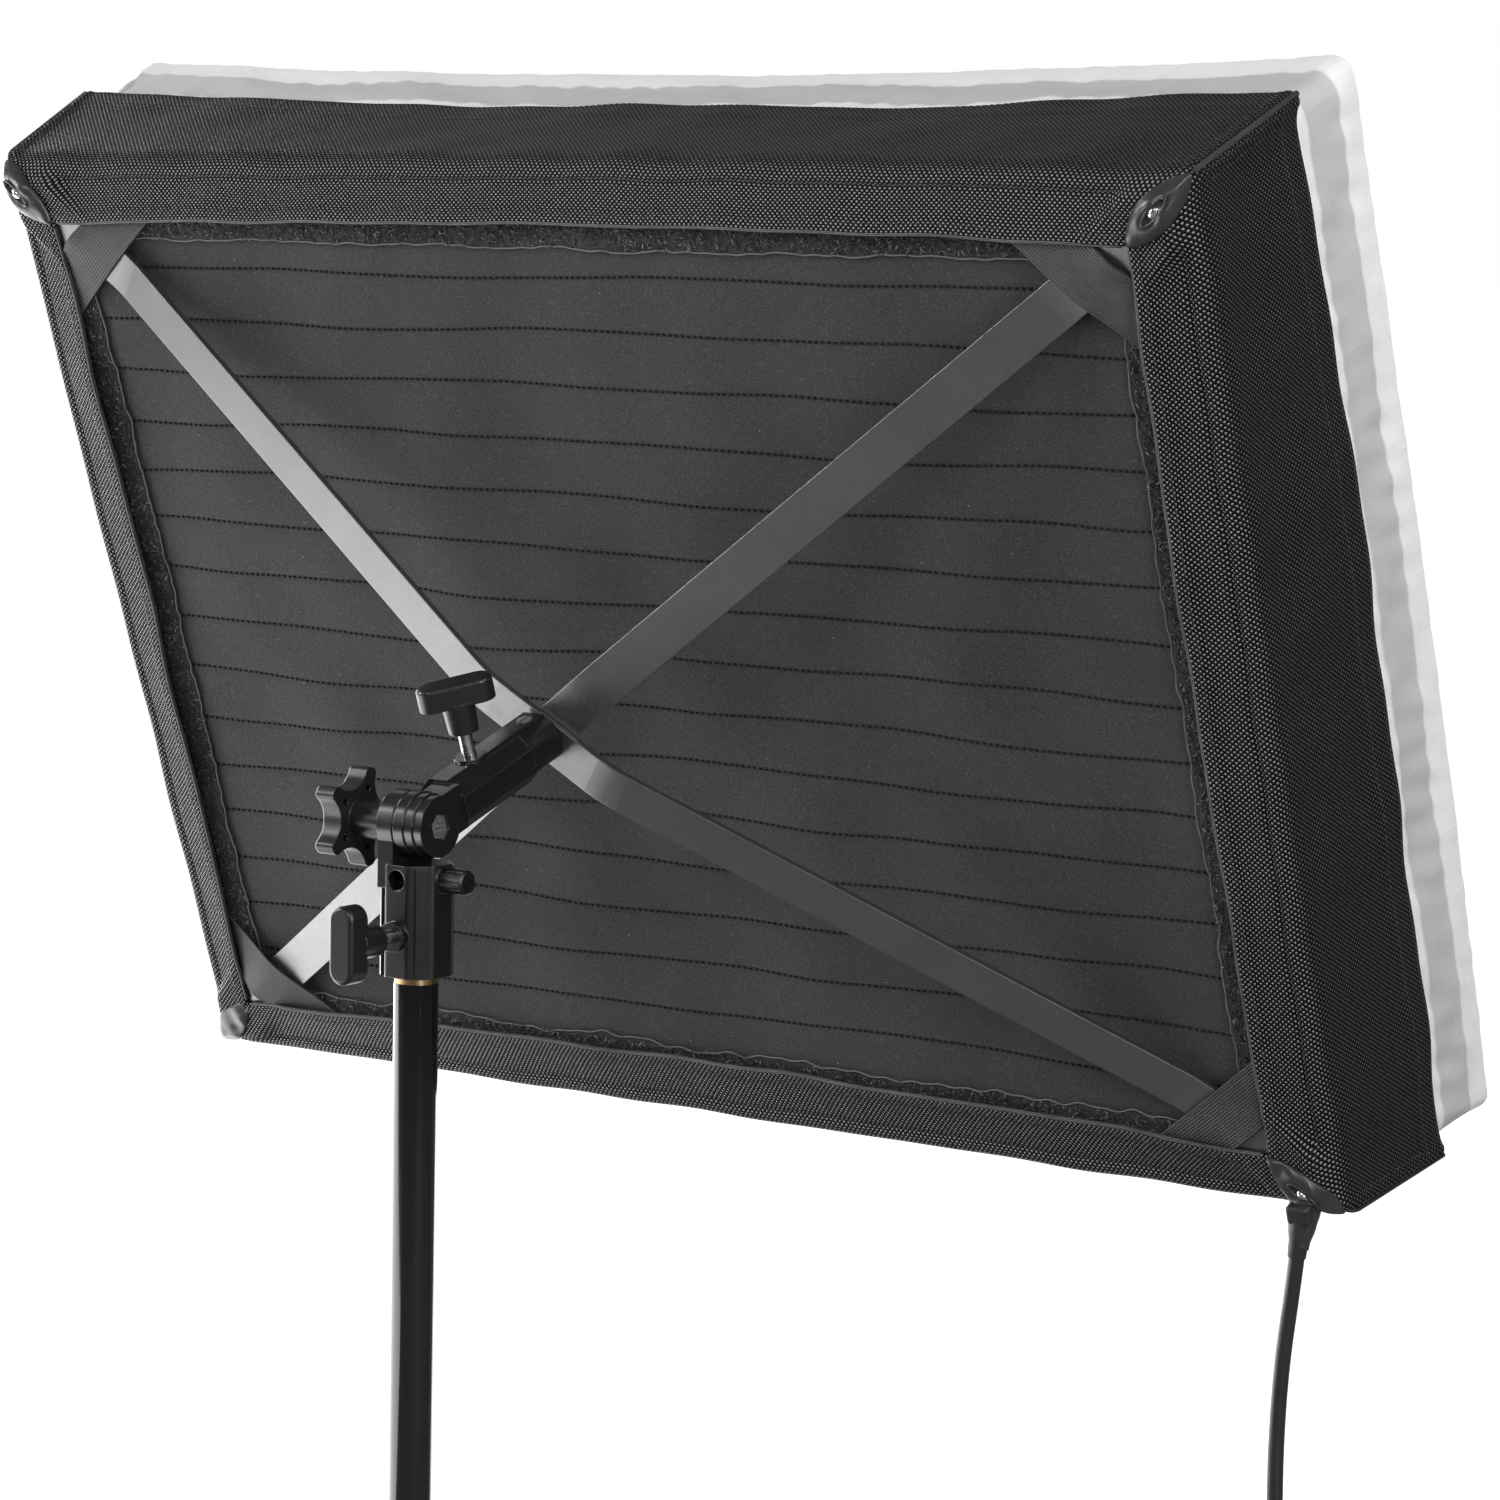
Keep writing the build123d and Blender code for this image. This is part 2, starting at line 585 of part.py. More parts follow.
def tilt_lock():
    left = ((0, 0, 0), (-1, 0, 0))
    bore = rod_between((-50, 0, 0), (0, 0, 0), M6_R + RUNNING)
    washer = rod_between((EAR_X[0] - FACE_GAP, 0, 0), (EAR_X[0] - 1.2, 0, 0), 8.2) - bore
    insert = rod_between((-12.4, 0, 0), (-31.0, 0, 0), 4.55) - bore
    return {
        "tilt_lock_washer": head(washer),
        "tilt_knob": head(place_knob(*left, 12.35, (0, 0, 1), star_knob())),
        "tilt_knob_insert": head(insert),
    }


# ---- writing the nodes --------------------------------------------------------------------------
nodes = {
    "stand_tube": stand_tube(),
    "stand_spigot": stand_spigot(),
    "tube_end_plug": tube_end_plug(),
    "socket_casting": socket_casting(),
    "tilt_washer": tilt_washer(),
    "head_casting": head_casting(),
    "tilt_bolt": tilt_bolt(),
    "hub_spigot": hub_spigot(),
    "hub_sleeve": hub_sleeve(),
    "hub_screw": hub_screw(),
    "hub_bolt": hub_bolt(),
    "hub_washer": hub_washer(),
    "cross_bar_falling": cross_bar("top_left", 0),
    "cross_bar_rising": cross_bar("top_right", 1),
    "led_mat": led_mat(),
    "led_strips": led_strips(),
    "led_emitters": led_emitters(),
    "loop_band": loop_band(),
    "skirt_hook_tape": skirt_hook_tape(),
    "corner_rods": corner_rods(),
    "rod_tips": rod_tips(),
    "diffuser_face": diffuser_face(),
    "diffuser_loop_tape": diffuser_loop_tape(),
    "cable_gland": cable_gland(),
    "mat_cable": mat_cable(),
    "cable_connector": cable_connector(),
    "connector_ring": connector_ring(),
}
nodes.update(locks())
nodes.update(tilt_lock())
for side_name in SIDES:
    nodes[f"rear_flange_{side_name}"] = rear_flange(side_name)
    nodes[f"skirt_{side_name}"] = skirt_panel(side_name)
    nodes[f"diffuser_{side_name}"] = diffuser_wall(side_name)
for corner_name in CORNERS:
    nodes[f"corner_strap_{corner_name}"] = corner_strap(corner_name)
    nodes[f"corner_pocket_{corner_name}"] = corner_pocket(corner_name)

for name, shape in nodes.items():
    export_step(shape, f"parts/{name}.step")
print(len(nodes), "nodes")
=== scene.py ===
import json
import math
import random

import bmesh
import bpy
import numpy as np
from mathutils import Matrix, Vector


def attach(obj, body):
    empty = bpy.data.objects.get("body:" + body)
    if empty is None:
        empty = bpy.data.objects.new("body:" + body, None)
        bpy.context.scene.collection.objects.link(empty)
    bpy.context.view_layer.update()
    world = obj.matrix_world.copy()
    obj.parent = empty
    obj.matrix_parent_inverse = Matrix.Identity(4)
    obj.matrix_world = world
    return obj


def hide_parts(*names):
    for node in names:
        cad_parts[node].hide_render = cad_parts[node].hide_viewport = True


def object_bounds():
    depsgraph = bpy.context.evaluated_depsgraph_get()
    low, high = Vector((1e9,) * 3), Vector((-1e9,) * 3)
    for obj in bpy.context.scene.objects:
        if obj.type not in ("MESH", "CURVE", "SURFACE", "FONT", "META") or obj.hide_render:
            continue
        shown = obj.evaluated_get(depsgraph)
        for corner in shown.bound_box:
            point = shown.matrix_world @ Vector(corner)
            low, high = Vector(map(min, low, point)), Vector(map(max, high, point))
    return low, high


# A softbox with a flexible LED mat on a light stand's tilt head. Fabric and trim are drawn in the
# level lamp's millimetres: X across, Y forward from the tilt axis, Z up. LAMP puts them in place.

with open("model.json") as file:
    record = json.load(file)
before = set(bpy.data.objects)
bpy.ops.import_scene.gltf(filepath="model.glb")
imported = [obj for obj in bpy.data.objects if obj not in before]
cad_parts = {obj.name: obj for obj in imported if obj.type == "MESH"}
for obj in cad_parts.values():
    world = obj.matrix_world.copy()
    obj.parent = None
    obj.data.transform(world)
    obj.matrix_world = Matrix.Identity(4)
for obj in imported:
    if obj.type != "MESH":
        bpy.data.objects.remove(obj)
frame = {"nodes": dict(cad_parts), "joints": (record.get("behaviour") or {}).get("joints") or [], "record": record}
CAD_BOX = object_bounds()
MM = 0.001

JOINTS = {joint["name"]: joint for joint in frame["joints"]}
TILT_AXIS = Vector(JOINTS["head_tilt"]["pos_m"])
SHINES = Vector(JOINTS["diffuser_off"]["axis"])
TILT = math.atan2(SHINES.z, SHINES.y)
LAMP = Matrix.Translation(TILT_AXIS) @ Matrix.Rotation(TILT, 4, "X")


# ---- measures taken from the frame ---------------------------------------------------------------
def lamp_box(node):
    """Lowest and highest corner of a CAD node in the level lamp's millimetres."""
    co = np.array([v.co for v in frame["nodes"][node].data.vertices], float)
    turn = np.array(LAMP.inverted())
    level = co @ turn[:3, :3].T + turn[:3, 3]
    return level.min(0) / MM, level.max(0) / MM


FLANGE_TOP = lamp_box("rear_flange_top")
FLANGE_RIGHT = lamp_box("rear_flange_right")
SKIRT_TOP = lamp_box("skirt_top")
SKIRT_RIGHT = lamp_box("skirt_right")
CAP_TOP = lamp_box("diffuser_top")
CAP_RIGHT = lamp_box("diffuser_right")
MAT = lamp_box("led_mat")

RIM_Y = FLANGE_TOP[0][1]
RIM_HALF = (FLANGE_RIGHT[0][0], FLANGE_TOP[0][2])
FOLD_Y = FLANGE_TOP[1][1]
FOLD_HALF = (FLANGE_RIGHT[1][0], FLANGE_TOP[1][2])
SKIRT_FRONT_Y = SKIRT_TOP[1][1]
SKIRT_FRONT_HALF = (SKIRT_RIGHT[1][0], SKIRT_TOP[1][2])
CAP_REAR_Y, CAP_FRONT_Y = CAP_TOP[0][1], CAP_TOP[1][1]
CAP_FRONT_HALF = (CAP_RIGHT[1][0], CAP_TOP[1][2])
MAT_HALF = (MAT[1][0], MAT[1][2])
MAT_BACK_Y = MAT[0][1]
MAT_FRONT_Y = 170.5      # just behind the LED strips

SIDE_DEPTH = math.dist((SKIRT_FRONT_Y, SKIRT_FRONT_HALF[1]), (FOLD_Y, FOLD_HALF[1]))   # hem to fold
SKIRT_CLOTH = 1.3
CAP_CLOTH = 0.7
SIDES = {"top": (0, 2, 1), "bottom": (0, 2, -1), "left": (2, 0, -1), "right": (2, 0, 1)}
CORNERS = {"top_left": (-1, 1), "top_right": (1, 1), "bottom_left": (-1, -1), "bottom_right": (1, -1)}


def side_points(side, along, forward, outward):
    """Points of one side of the box, from arrays of the place along it, forward and outward."""
    axis, out_axis, sign = SIDES[side]
    along, forward, outward = np.broadcast_arrays(along, forward, outward)
    points = np.zeros(along.shape + (3,))
    points[..., axis] = along
    points[..., out_axis] = sign * outward
    points[..., 1] = forward
    return points


# ---- mesh helpers --------------------------------------------------------------------------------
def smoothstep(low, high, value):
    t = np.clip((np.asarray(value, float) - low) / (high - low), 0, 1)
    return t * t * (3 - 2 * t)


def unit(vectors):
    return vectors / np.maximum(np.linalg.norm(vectors, axis=-1, keepdims=True), 1e-9)


def hump(distance, width, power=2):
    """A smooth bump: 1 in its middle, falling away over its width."""
    return np.exp(-((distance / width) ** power))


def travelled(line):
    """Length along a polyline at each of its points."""
    return np.concatenate([[0], np.cumsum(np.linalg.norm(np.diff(line, axis=0), axis=1))])


def along_columns(places, lengths, rows):
    """Rows of three numbers interpolated at places along a polyline."""
    return np.stack([np.interp(places, lengths, np.asarray(rows)[:, k]) for k in range(3)], -1)


def waves(seed, count, low, high):
    """A smooth random field of two variables in mm, about -1 to 1, from waves low to high mm long."""
    draw = random.Random(seed)
    terms = []
    for _ in range(count):
        turn, phase = draw.uniform(0, math.tau), draw.uniform(0, math.tau)
        k = math.tau / draw.uniform(low, high)
        terms.append((k * math.cos(turn), k * math.sin(turn), phase))
    scale = 1.6 / math.sqrt(count)

    def field(x, y):
        return scale * sum(np.sin(a * x + b * y + p) for a, b, p in terms)

    return field


def link(name, data):
    obj = bpy.data.objects.new(name, data)
    bpy.context.scene.collection.objects.link(obj)
    return obj


def new_object(name, points, faces, body, material, attributes=None, smooth=True, place=LAMP):
    """A mesh object from points in mm, placed in the frame and riding on a body."""
    mesh = bpy.data.meshes.new(name)
    faces = faces if isinstance(faces, list) else faces.tolist()
    mesh.from_pydata((np.asarray(points) * MM).tolist(), [], faces)
    for key, values in (attributes or {}).items():
        values = np.asarray(values, np.float32)
        kind = "FLOAT_VECTOR" if values.ndim == 2 else "FLOAT"
        layer = mesh.attributes.new(key, kind, "POINT")
        layer.data.foreach_set("vector" if values.ndim == 2 else "value", values.ravel())
    mesh.polygons.foreach_set("use_smooth", [smooth] * len(mesh.polygons))
    mesh.materials.append(material)
    mesh.update()
    obj = link(name, mesh)
    obj.matrix_world = place
    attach(obj, body)
    return obj


def grid_faces(rows, columns, start=0, flip=False):
    i, j = np.meshgrid(np.arange(rows - 1), np.arange(columns - 1), indexing="ij")
    a = start + i * columns + j
    quads = np.stack([a, a + 1, a + columns + 1, a + columns], -1).reshape(-1, 4)
    return quads[:, ::-1] if flip else quads


def surface_normals(points, ring=False):
    """Unit normals of a grid. The first and last columns of a ring are the same points."""
    around = np.concatenate([points[:, -2:-1], points, points[:, 1:2]], 1) if ring else points
    rows, columns = np.gradient(points, axis=0), np.gradient(around, axis=1)
    columns = columns[:, 1:-1] if ring else columns
    return unit(np.cross(rows, columns))


def thick_sheet(name, points, thickness, body, material, cloth, extra=None, ring=False):
    """A closed sheet round a grid of points. cloth holds the weave's own x and y in mm at each point."""
    rows, columns = points.shape[:2]
    normals = surface_normals(points, ring)
    if ring and np.linalg.norm(normals[-1], axis=-1).max() < 0.5:
        normals[-1] = unit(normals[-2].mean(0))
    half = np.broadcast_to(np.asarray(thickness, float), (rows, columns)) / 2
    if not ring:
        half = half.copy()
        half[[0, -1], :] *= 0.35
        half[:, [0, -1]] *= 0.35
    front = points + normals * half[..., None]
    back = points - normals * half[..., None]
    count = rows * columns
    faces = [grid_faces(rows, columns, 0, True), grid_faces(rows, columns, count)]
    index = np.arange(count).reshape(rows, columns)
    border = np.concatenate([index[0, :-1], index[:-1, -1], index[-1, :0:-1], index[:0:-1, 0]])
    after = np.roll(border, -1)
    if ring:
        border = np.concatenate([index[0, :-1], index[-1, :0:-1]])
        after = np.concatenate([index[0, 1:], index[-1, -2::-1]])
    faces.append(np.stack([border, after, after + count, border + count], -1))
    attributes = {"cloth": np.tile(np.dstack([*cloth, np.zeros_like(cloth[0])]).reshape(-1, 3), (2, 1))}
    for key, values in (extra or {}).items():
        attributes[key] = np.tile(np.broadcast_to(values, (rows, columns)).ravel(), 2)
    all_points = np.concatenate([front.reshape(-1, 3), back.reshape(-1, 3)])
    return new_object(name, all_points, np.concatenate(faces), body, material, attributes)


def weld(obj):
    """Joins the points of a mesh that lie in one place, and drops faces without area."""
    mesh = bmesh.new()
    mesh.from_mesh(obj.data)
    bmesh.ops.remove_doubles(mesh, verts=mesh.verts, dist=1e-6)
    bmesh.ops.dissolve_degenerate(mesh, edges=mesh.edges, dist=1e-6)
    mesh.to_mesh(obj.data)
    mesh.free()


def copies(name, template, faces, origins, axes, body, material, scales=None, place=LAMP, extra=None):
    """Many copies of a small template. axes holds three unit rows for each copy."""
    origins, axes = np.asarray(origins), np.asarray(axes)
    local = np.asarray(template)[None] * (1 if scales is None else np.asarray(scales)[:, None, :])
    points = origins[:, None, :] + np.einsum("nvk,nkd->nvd", local, axes)
    steps = np.arange(len(origins))[:, None, None] * len(template)
    all_faces = (np.asarray(faces)[None] + steps).reshape(-1, np.asarray(faces).shape[1])
    attributes = {}
    if extra is not None:
        attributes["shade"] = np.repeat(np.asarray(extra), len(template))
    return new_object(name, points.reshape(-1, 3), all_faces, body, material, attributes, place=place)


def capsule(sides=6, rings=(-1.0, -0.82, 0.0, 0.82, 1.0), radii=(0.12, 0.75, 1.0, 0.75, 0.12)):
    """A stitch of unit half length along X and unit radius, with closed ends."""
    points, faces = [], []
    for x, r in zip(rings, radii):
        for k in range(sides):
            points.append((x, r * math.cos(math.tau * k / sides), r * math.sin(math.tau * k / sides)))
    for ring in range(len(rings) - 1):
        for k in range(sides):
            a, b = ring * sides + k, ring * sides + (k + 1) % sides
            faces.append((a, b, b + sides, a + sides))
    last = (len(rings) - 1) * sides
    faces += [(2, 1, 0, 3), (3, 0, 5, 4), (last, last + 1, last + 2, last + 3)]
    faces += [(last + 3, last + 4, last + 5, last)]
    return points, faces


STITCH = capsule()


def along_line(line, pitch, start=0.5):
    """Points and directions every pitch mm along a polyline of points."""
    line = np.asarray(line, float)
    lengths = travelled(line)
    places = np.arange(pitch * start, lengths[-1] - pitch * start * 0.5, pitch)
    ahead, behind = (along_columns(places + step, lengths, line) for step in (0.4, -0.4))
    return along_columns(places, lengths, line), unit(ahead - behind), places


def stitches(name, lines, body, material, pitch=3.0, length=2.2, radius=0.35, place=LAMP):
    """Sewn stitches along lines. Each line is (points, normals), both rows of three."""
    origins, axes = [], []
    for line, normals in lines:
        points, along, places = along_line(line, pitch)
        normal = along_columns(places, travelled(line), normals)
        across = unit(np.cross(normal, along))
        up = np.cross(along, across)
        origins.append(points + up * radius * 0.15)
        axes.append(np.stack([along, across, up], 1))
    origins, axes = np.concatenate(origins), np.concatenate(axes)
    scales = np.tile([length / 2, radius, radius * 0.8], (len(origins), 1))
    return copies(name, STITCH[0], STITCH[1], origins, axes, body, material, scales, place)


def tube(name, line, radius, body, material, sides=10, flatten=1.0, place=LAMP):
    """A closed tube along a polyline. radius may be one number or one for each point."""
    line = np.asarray(line, float)
    tangent = unit(np.gradient(line, axis=0))
    side = unit(np.cross((0, 1.0, 0), tangent))
    up = np.cross(tangent, side)
    angle = np.arange(sides) * math.tau / sides
    radius = np.broadcast_to(np.asarray(radius, float), len(line))[:, None, None]
    ring = np.cos(angle)[None, :, None] * side[:, None] + flatten * np.sin(angle)[None, :, None] * up[:, None]
    points = (line[:, None] + radius * ring).reshape(-1, 3)
    faces = []
    for i in range(len(line) - 1):
        for k in range(sides):
            a, b = i * sides + k, i * sides + (k + 1) % sides
            faces.append((a, b, b + sides, a + sides))
    points = np.concatenate([points, line[:1], line[-1:]])
    first, last, end = len(points) - 2, len(points) - 1, (len(line) - 1) * sides
    for k in range(sides):
        faces += [(first, (k + 1) % sides, k), (last, end + k, end + (k + 1) % sides)]
    cloth = np.zeros((len(points), 3))
    cloth[:-2, 0] = np.repeat(travelled(line), sides)
    cloth[:-2, 1] = np.tile(angle, len(line)) * radius.mean()
    return new_object(name, points, faces, body, material, {"cloth": cloth}, place=place)


# ---- material helper -----------------------------------------------------------------------------
class Shade:
    """A Principled material and short ways to add nodes to it."""

    def __init__(self, name, color, roughness, **values):
        self.material = bpy.data.materials.new(name)
        self.material.use_nodes = True
        self.tree = self.material.node_tree
        self.shader = self.tree.nodes["Principled BSDF"]
        self.shader.inputs["Base Color"].default_value = (*color, 1)
        self.shader.inputs["Roughness"].default_value = roughness
        for key, value in values.items():
            self.shader.inputs[key.replace("_", " ")].default_value = value

    def node(self, kind, inputs=None, **settings):
        node = self.tree.nodes.new(kind)
        for key, value in settings.items():
            setattr(node, key, value)
        for key, value in (inputs or {}).items():
            self.put(node.inputs[key], value)
        return node

    def put(self, socket, value):
        if isinstance(value, bpy.types.NodeSocket):
            self.tree.links.new(value, socket)
        elif isinstance(value, tuple) and len(value) == 3 and socket.type == "RGBA":
            socket.default_value = (*value, 1)
        else:
            socket.default_value = value

    def math(self, operation, a, b=0.0, c=0.0):
        return self.node("ShaderNodeMath", {0: a, 1: b, 2: c}, operation=operation).outputs[0]

    def place(self):
        return self.node("ShaderNodeTexCoord").outputs["Object"]

    def attribute(self, name):
        return self.node("ShaderNodeAttribute", attribute_name=name)

    def cloth(self):
        """The weave's own x and y, in mm."""
        node = self.node("ShaderNodeSeparateXYZ", {0: self.attribute("cloth").outputs["Vector"]})
        return node.outputs[0], node.outputs[1]

    def stretched(self, vector, scale):
        return self.node("ShaderNodeMapping", {"Vector": vector, "Scale": scale}).outputs[0]

    def noise(self, scale, detail=2.0, roughness=0.5, vector=None):
        inputs = {"Vector": vector or self.place(), "Scale": scale, "Detail": detail, "Roughness": roughness}
        return self.node("ShaderNodeTexNoise", inputs).outputs["Fac"]

    def ramp(self, value, low, high, to_low=0.0, to_high=1.0):
        inputs = {"Value": value, "From Min": low, "From Max": high, "To Min": to_low, "To Max": to_high}
        return self.node("ShaderNodeMapRange", inputs, interpolation_type="SMOOTHSTEP").outputs["Result"]

    def mix(self, factor, a, b):
        node = self.node("ShaderNodeMix", data_type="RGBA")
        for socket, value in ((node.inputs[0], factor), (node.inputs[6], a), (node.inputs[7], b)):
            self.put(socket, value)
        return node.outputs[2]

    def bump(self, height, distance, strength=1.0, normal=None):
        inputs = {"Height": height, "Distance": distance, "Strength": strength}
        if normal is not None:
            inputs["Normal"] = normal
        return self.node("ShaderNodeBump", inputs).outputs["Normal"]

    def rounded(self, radius):
        """The surface's normal with its edges rounded to a radius in metres."""
        return self.node("ShaderNodeBevel", {"Radius": radius}, samples=8).outputs["Normal"]

    def set(self, **values):
        for key, value in values.items():
            self.put(self.shader.inputs[key.replace("_", " ")], value)
        return self

    def weave(self, pitch):
        """(height, crossing) of a plain weave whose threads are pitch mm apart in the cloth's own x and y.

        Both run from 0 to 1. crossing is the height of only those threads that run along x.
        """
        x, y = (self.math("SINE", self.math("MULTIPLY", place, math.pi / pitch)) for place in self.cloth())
        heights = []
        for across, over, sign in ((x, y, 1), (y, x, -1)):
            profile = self.math("POWER", self.math("ABSOLUTE", across), 0.6)
            lift = self.math("MULTIPLY", self.math("SIGN", across), over)
            lift = self.math("MULTIPLY_ADD", lift, 0.5 * sign, 0.5)
            heights.append(self.math("MULTIPLY", profile, lift))
        return self.math("MAXIMUM", *heights), heights[1]


def mottled(m, tone, colors, gloss, grain, normal=None):
    """Colour, roughness and a fine grain that vary a little. Returns the material.

    tone is the colour noise's scale and detail. gloss adds the lowest and highest roughness to its own,
    and grain the bump's distance and strength.
    """
    m.set(Base_Color=m.mix(m.noise(*tone), *colors))
    if gloss:
        m.set(Roughness=m.ramp(m.noise(*gloss[:2]), 0.3, 0.7, *gloss[2:]))
    return m.set(Normal=m.bump(m.noise(*grain[:2]), *grain[2:], normal)).material


# ---- materials: metal and moulded parts ----------------------------------------------------------
def black_casting():
    m = Shade("black_casting", (0.006, 0.006, 0.0065), 0.24, Specular_IOR_Level=0.7)
    colors = (0.005, 0.005, 0.0054), (0.008, 0.008, 0.0084)
    return mottled(m, (25, 3), colors, (60, 2, 0.22, 0.27), (900, 3, 0.000008, 0.3), m.rounded(0.0006))


def knob_plastic():
    m = Shade("knob_plastic", (0.008, 0.008, 0.0085), 0.4)
    colors = (0.006, 0.006, 0.0065), (0.012, 0.012, 0.0125)
    return mottled(m, (35, 4), colors, (600, 3, 0.3, 0.36), (1400, 2, 0.00001, 0.3), m.rounded(0.0006))


def stand_paint():
    m = Shade("stand_paint", (0.003, 0.003, 0.004), 0.12, Coat_Weight=0.3, Coat_Roughness=0.05)
    streak = m.noise(1.0, 3, 0.6, m.stretched(m.place(), (220, 220, 12)))
    m.set(Base_Color=m.mix(m.ramp(streak, 0.55, 0.75), (0.0025, 0.0025, 0.003), (0.007, 0.0075, 0.01)))
    scratches = m.ramp(m.noise(1.0, 2, 0.5, m.stretched(m.place(), (900, 900, 40))), 0.66, 0.75)
    m.set(Roughness=m.math("MULTIPLY_ADD", scratches, 0.16, 0.11))
    return m.set(Normal=m.bump(m.noise(300, 2), 0.00003, 0.4)).material


def metal(name, color, low, high, scale, bump):
    """Bare or plated metal with machining or plating marks."""
    m = Shade(name, color, (low + high) / 2, Metallic=1.0)
    spots = m.noise(scale, 4, 0.6)
    dark = tuple(c * 0.72 for c in color)
    m.set(Base_Color=m.mix(m.ramp(spots, 0.35, 0.7), dark, color))
    m.set(Roughness=m.ramp(spots, 0.3, 0.7, low, high))
    return m.set(Normal=m.bump(spots, bump, 0.6)).material


def bar_paint():
    m = Shade("bar_paint", (0.16, 0.16, 0.163), 0.36, Metallic=0.85)
    colors = (0.13, 0.13, 0.133), (0.17, 0.17, 0.173)
    return mottled(m, (40, 4), colors, (700, 3, 0.32, 0.42), (2500, 2, 0.00002, 0.6), m.rounded(0.0008))


# ---- materials: cloth, webbing and tapes ---------------------------------------------------------
def skirt_nylon():
    """Coarse black nylon: the tops of the crossing threads are painted lighter than the low points as painted
    highlight and shade, and the rear flange's threads are painted paler as painted light.
    """
    m = Shade("skirt_nylon", (0.02, 0.02, 0.02), 0.5)
    height, crossing = m.weave(1.2)
    # Painted light: past the fold, the threads on the rear flange are painted paler, where light falls on the
    # flange.
    painted_flange_light = m.ramp(m.cloth()[1], SIDE_DEPTH - 3.0, SIDE_DEPTH + 3.0)
    tone = m.mix(m.noise(9, 3), (0.003, 0.003, 0.0032), (0.006, 0.006, 0.0062))
    thread = m.mix(m.noise(700, 2), (0.025, 0.025, 0.026), (0.085, 0.085, 0.087))
    thread = m.mix(painted_flange_light, thread, (0.24, 0.24, 0.243))
    # Painted highlight and painted shade: the tops of the crossing threads are painted lighter and the low points
    # between them darker.
    m.set(Base_Color=m.mix(m.ramp(crossing, 0.5, 0.85), tone, thread))
    m.set(Specular_IOR_Level=m.ramp(crossing, 0.5, 0.85, 0.12, 0.55))
    m.set(Roughness=m.ramp(crossing, 0.4, 0.8, 0.75, 0.4))
    return m.set(Normal=m.bump(height, 0.0007, 1.0)).material


def mat_jersey():
    m = Shade("mat_jersey", (0.035, 0.035, 0.036), 0.9, Sheen_Weight=0.12, Sheen_Roughness=0.5)
    m.set(Specular_IOR_Level=0.25)
    fuzz = m.noise(1500, 3, 0.75)
    tone = m.mix(m.noise(14, 4), (0.017, 0.017, 0.0174), (0.029, 0.029, 0.0295))
    tone = m.mix(m.ramp(fuzz, 0.5, 0.68), tone, (0.07, 0.07, 0.072))
    lint = m.node("ShaderNodeTexVoronoi", {"Vector": m.place(), "Scale": 170}, feature="F1")
    rare = m.ramp(m.node("ShaderNodeSeparateColor", {0: lint.outputs["Color"]}).outputs[0], 0.88, 0.89)
    speck = m.math("MULTIPLY", m.ramp(lint.outputs["Distance"], 0.04, 0.07, 1.0, 0.0), rare)
    m.set(Base_Color=m.mix(speck, tone, (0.22, 0.22, 0.22)))
    return m.set(Normal=m.bump(fuzz, 0.0002, 0.8)).material


def loop_pile():
    """Loops of dark and grey yarn. The shade attribute tells each loop's own tone."""
    m = Shade("loop_pile", (0.012, 0.012, 0.012), 0.8, Sheen_Weight=0.2, Sheen_Roughness=0.4)
    clumps = m.ramp(m.noise(260, 3, 0.6), 0.38, 0.62)
    own = m.math("MULTIPLY", m.attribute("shade").outputs["Fac"], m.math("MULTIPLY_ADD", clumps, 0.7, 0.3))
    m.set(Base_Color=m.mix(own, (0.003, 0.003, 0.003), (0.34, 0.34, 0.345)))
    return m.set(Normal=m.bump(m.noise(1500, 3, 0.7), 0.0006, 1.0)).material


def ribbed(name, dark, light, pitch, roughness=0.6):
    """Webbing or tape with fine ribs that run along it."""
    m = Shade(name, light, roughness)
    along, across = m.cloth()
    rib = m.math("ABSOLUTE", m.math("SINE", m.math("MULTIPLY", across, math.pi / pitch)))
    pick = m.math("ABSOLUTE", m.math("SINE", m.math("MULTIPLY", along, math.pi / (pitch * 0.6))))
    height = m.math("MULTIPLY_ADD", pick, 0.25, m.math("MULTIPLY", rib, 0.75))
    # Painted highlight and painted shade: the tops of the ribs are painted lighter and the grooves between them
    # darker.
    m.set(Base_Color=m.mix(m.ramp(height, 0.2, 0.9), dark, m.mix(m.noise(60, 3), light, dark)))
    return m.set(Normal=m.bump(height, 0.0004, 1.0)).material


def vinyl():
    m = Shade("vinyl", (0.02, 0.02, 0.021), 0.36, Coat_Weight=0.12, Coat_Roughness=0.2)
    m.set(Base_Color=m.mix(m.noise(70, 3), (0.014, 0.014, 0.015), (0.035, 0.035, 0.036)))
    return m.set(Normal=m.bump(m.noise(240, 4, 0.6), 0.0003, 0.5)).material


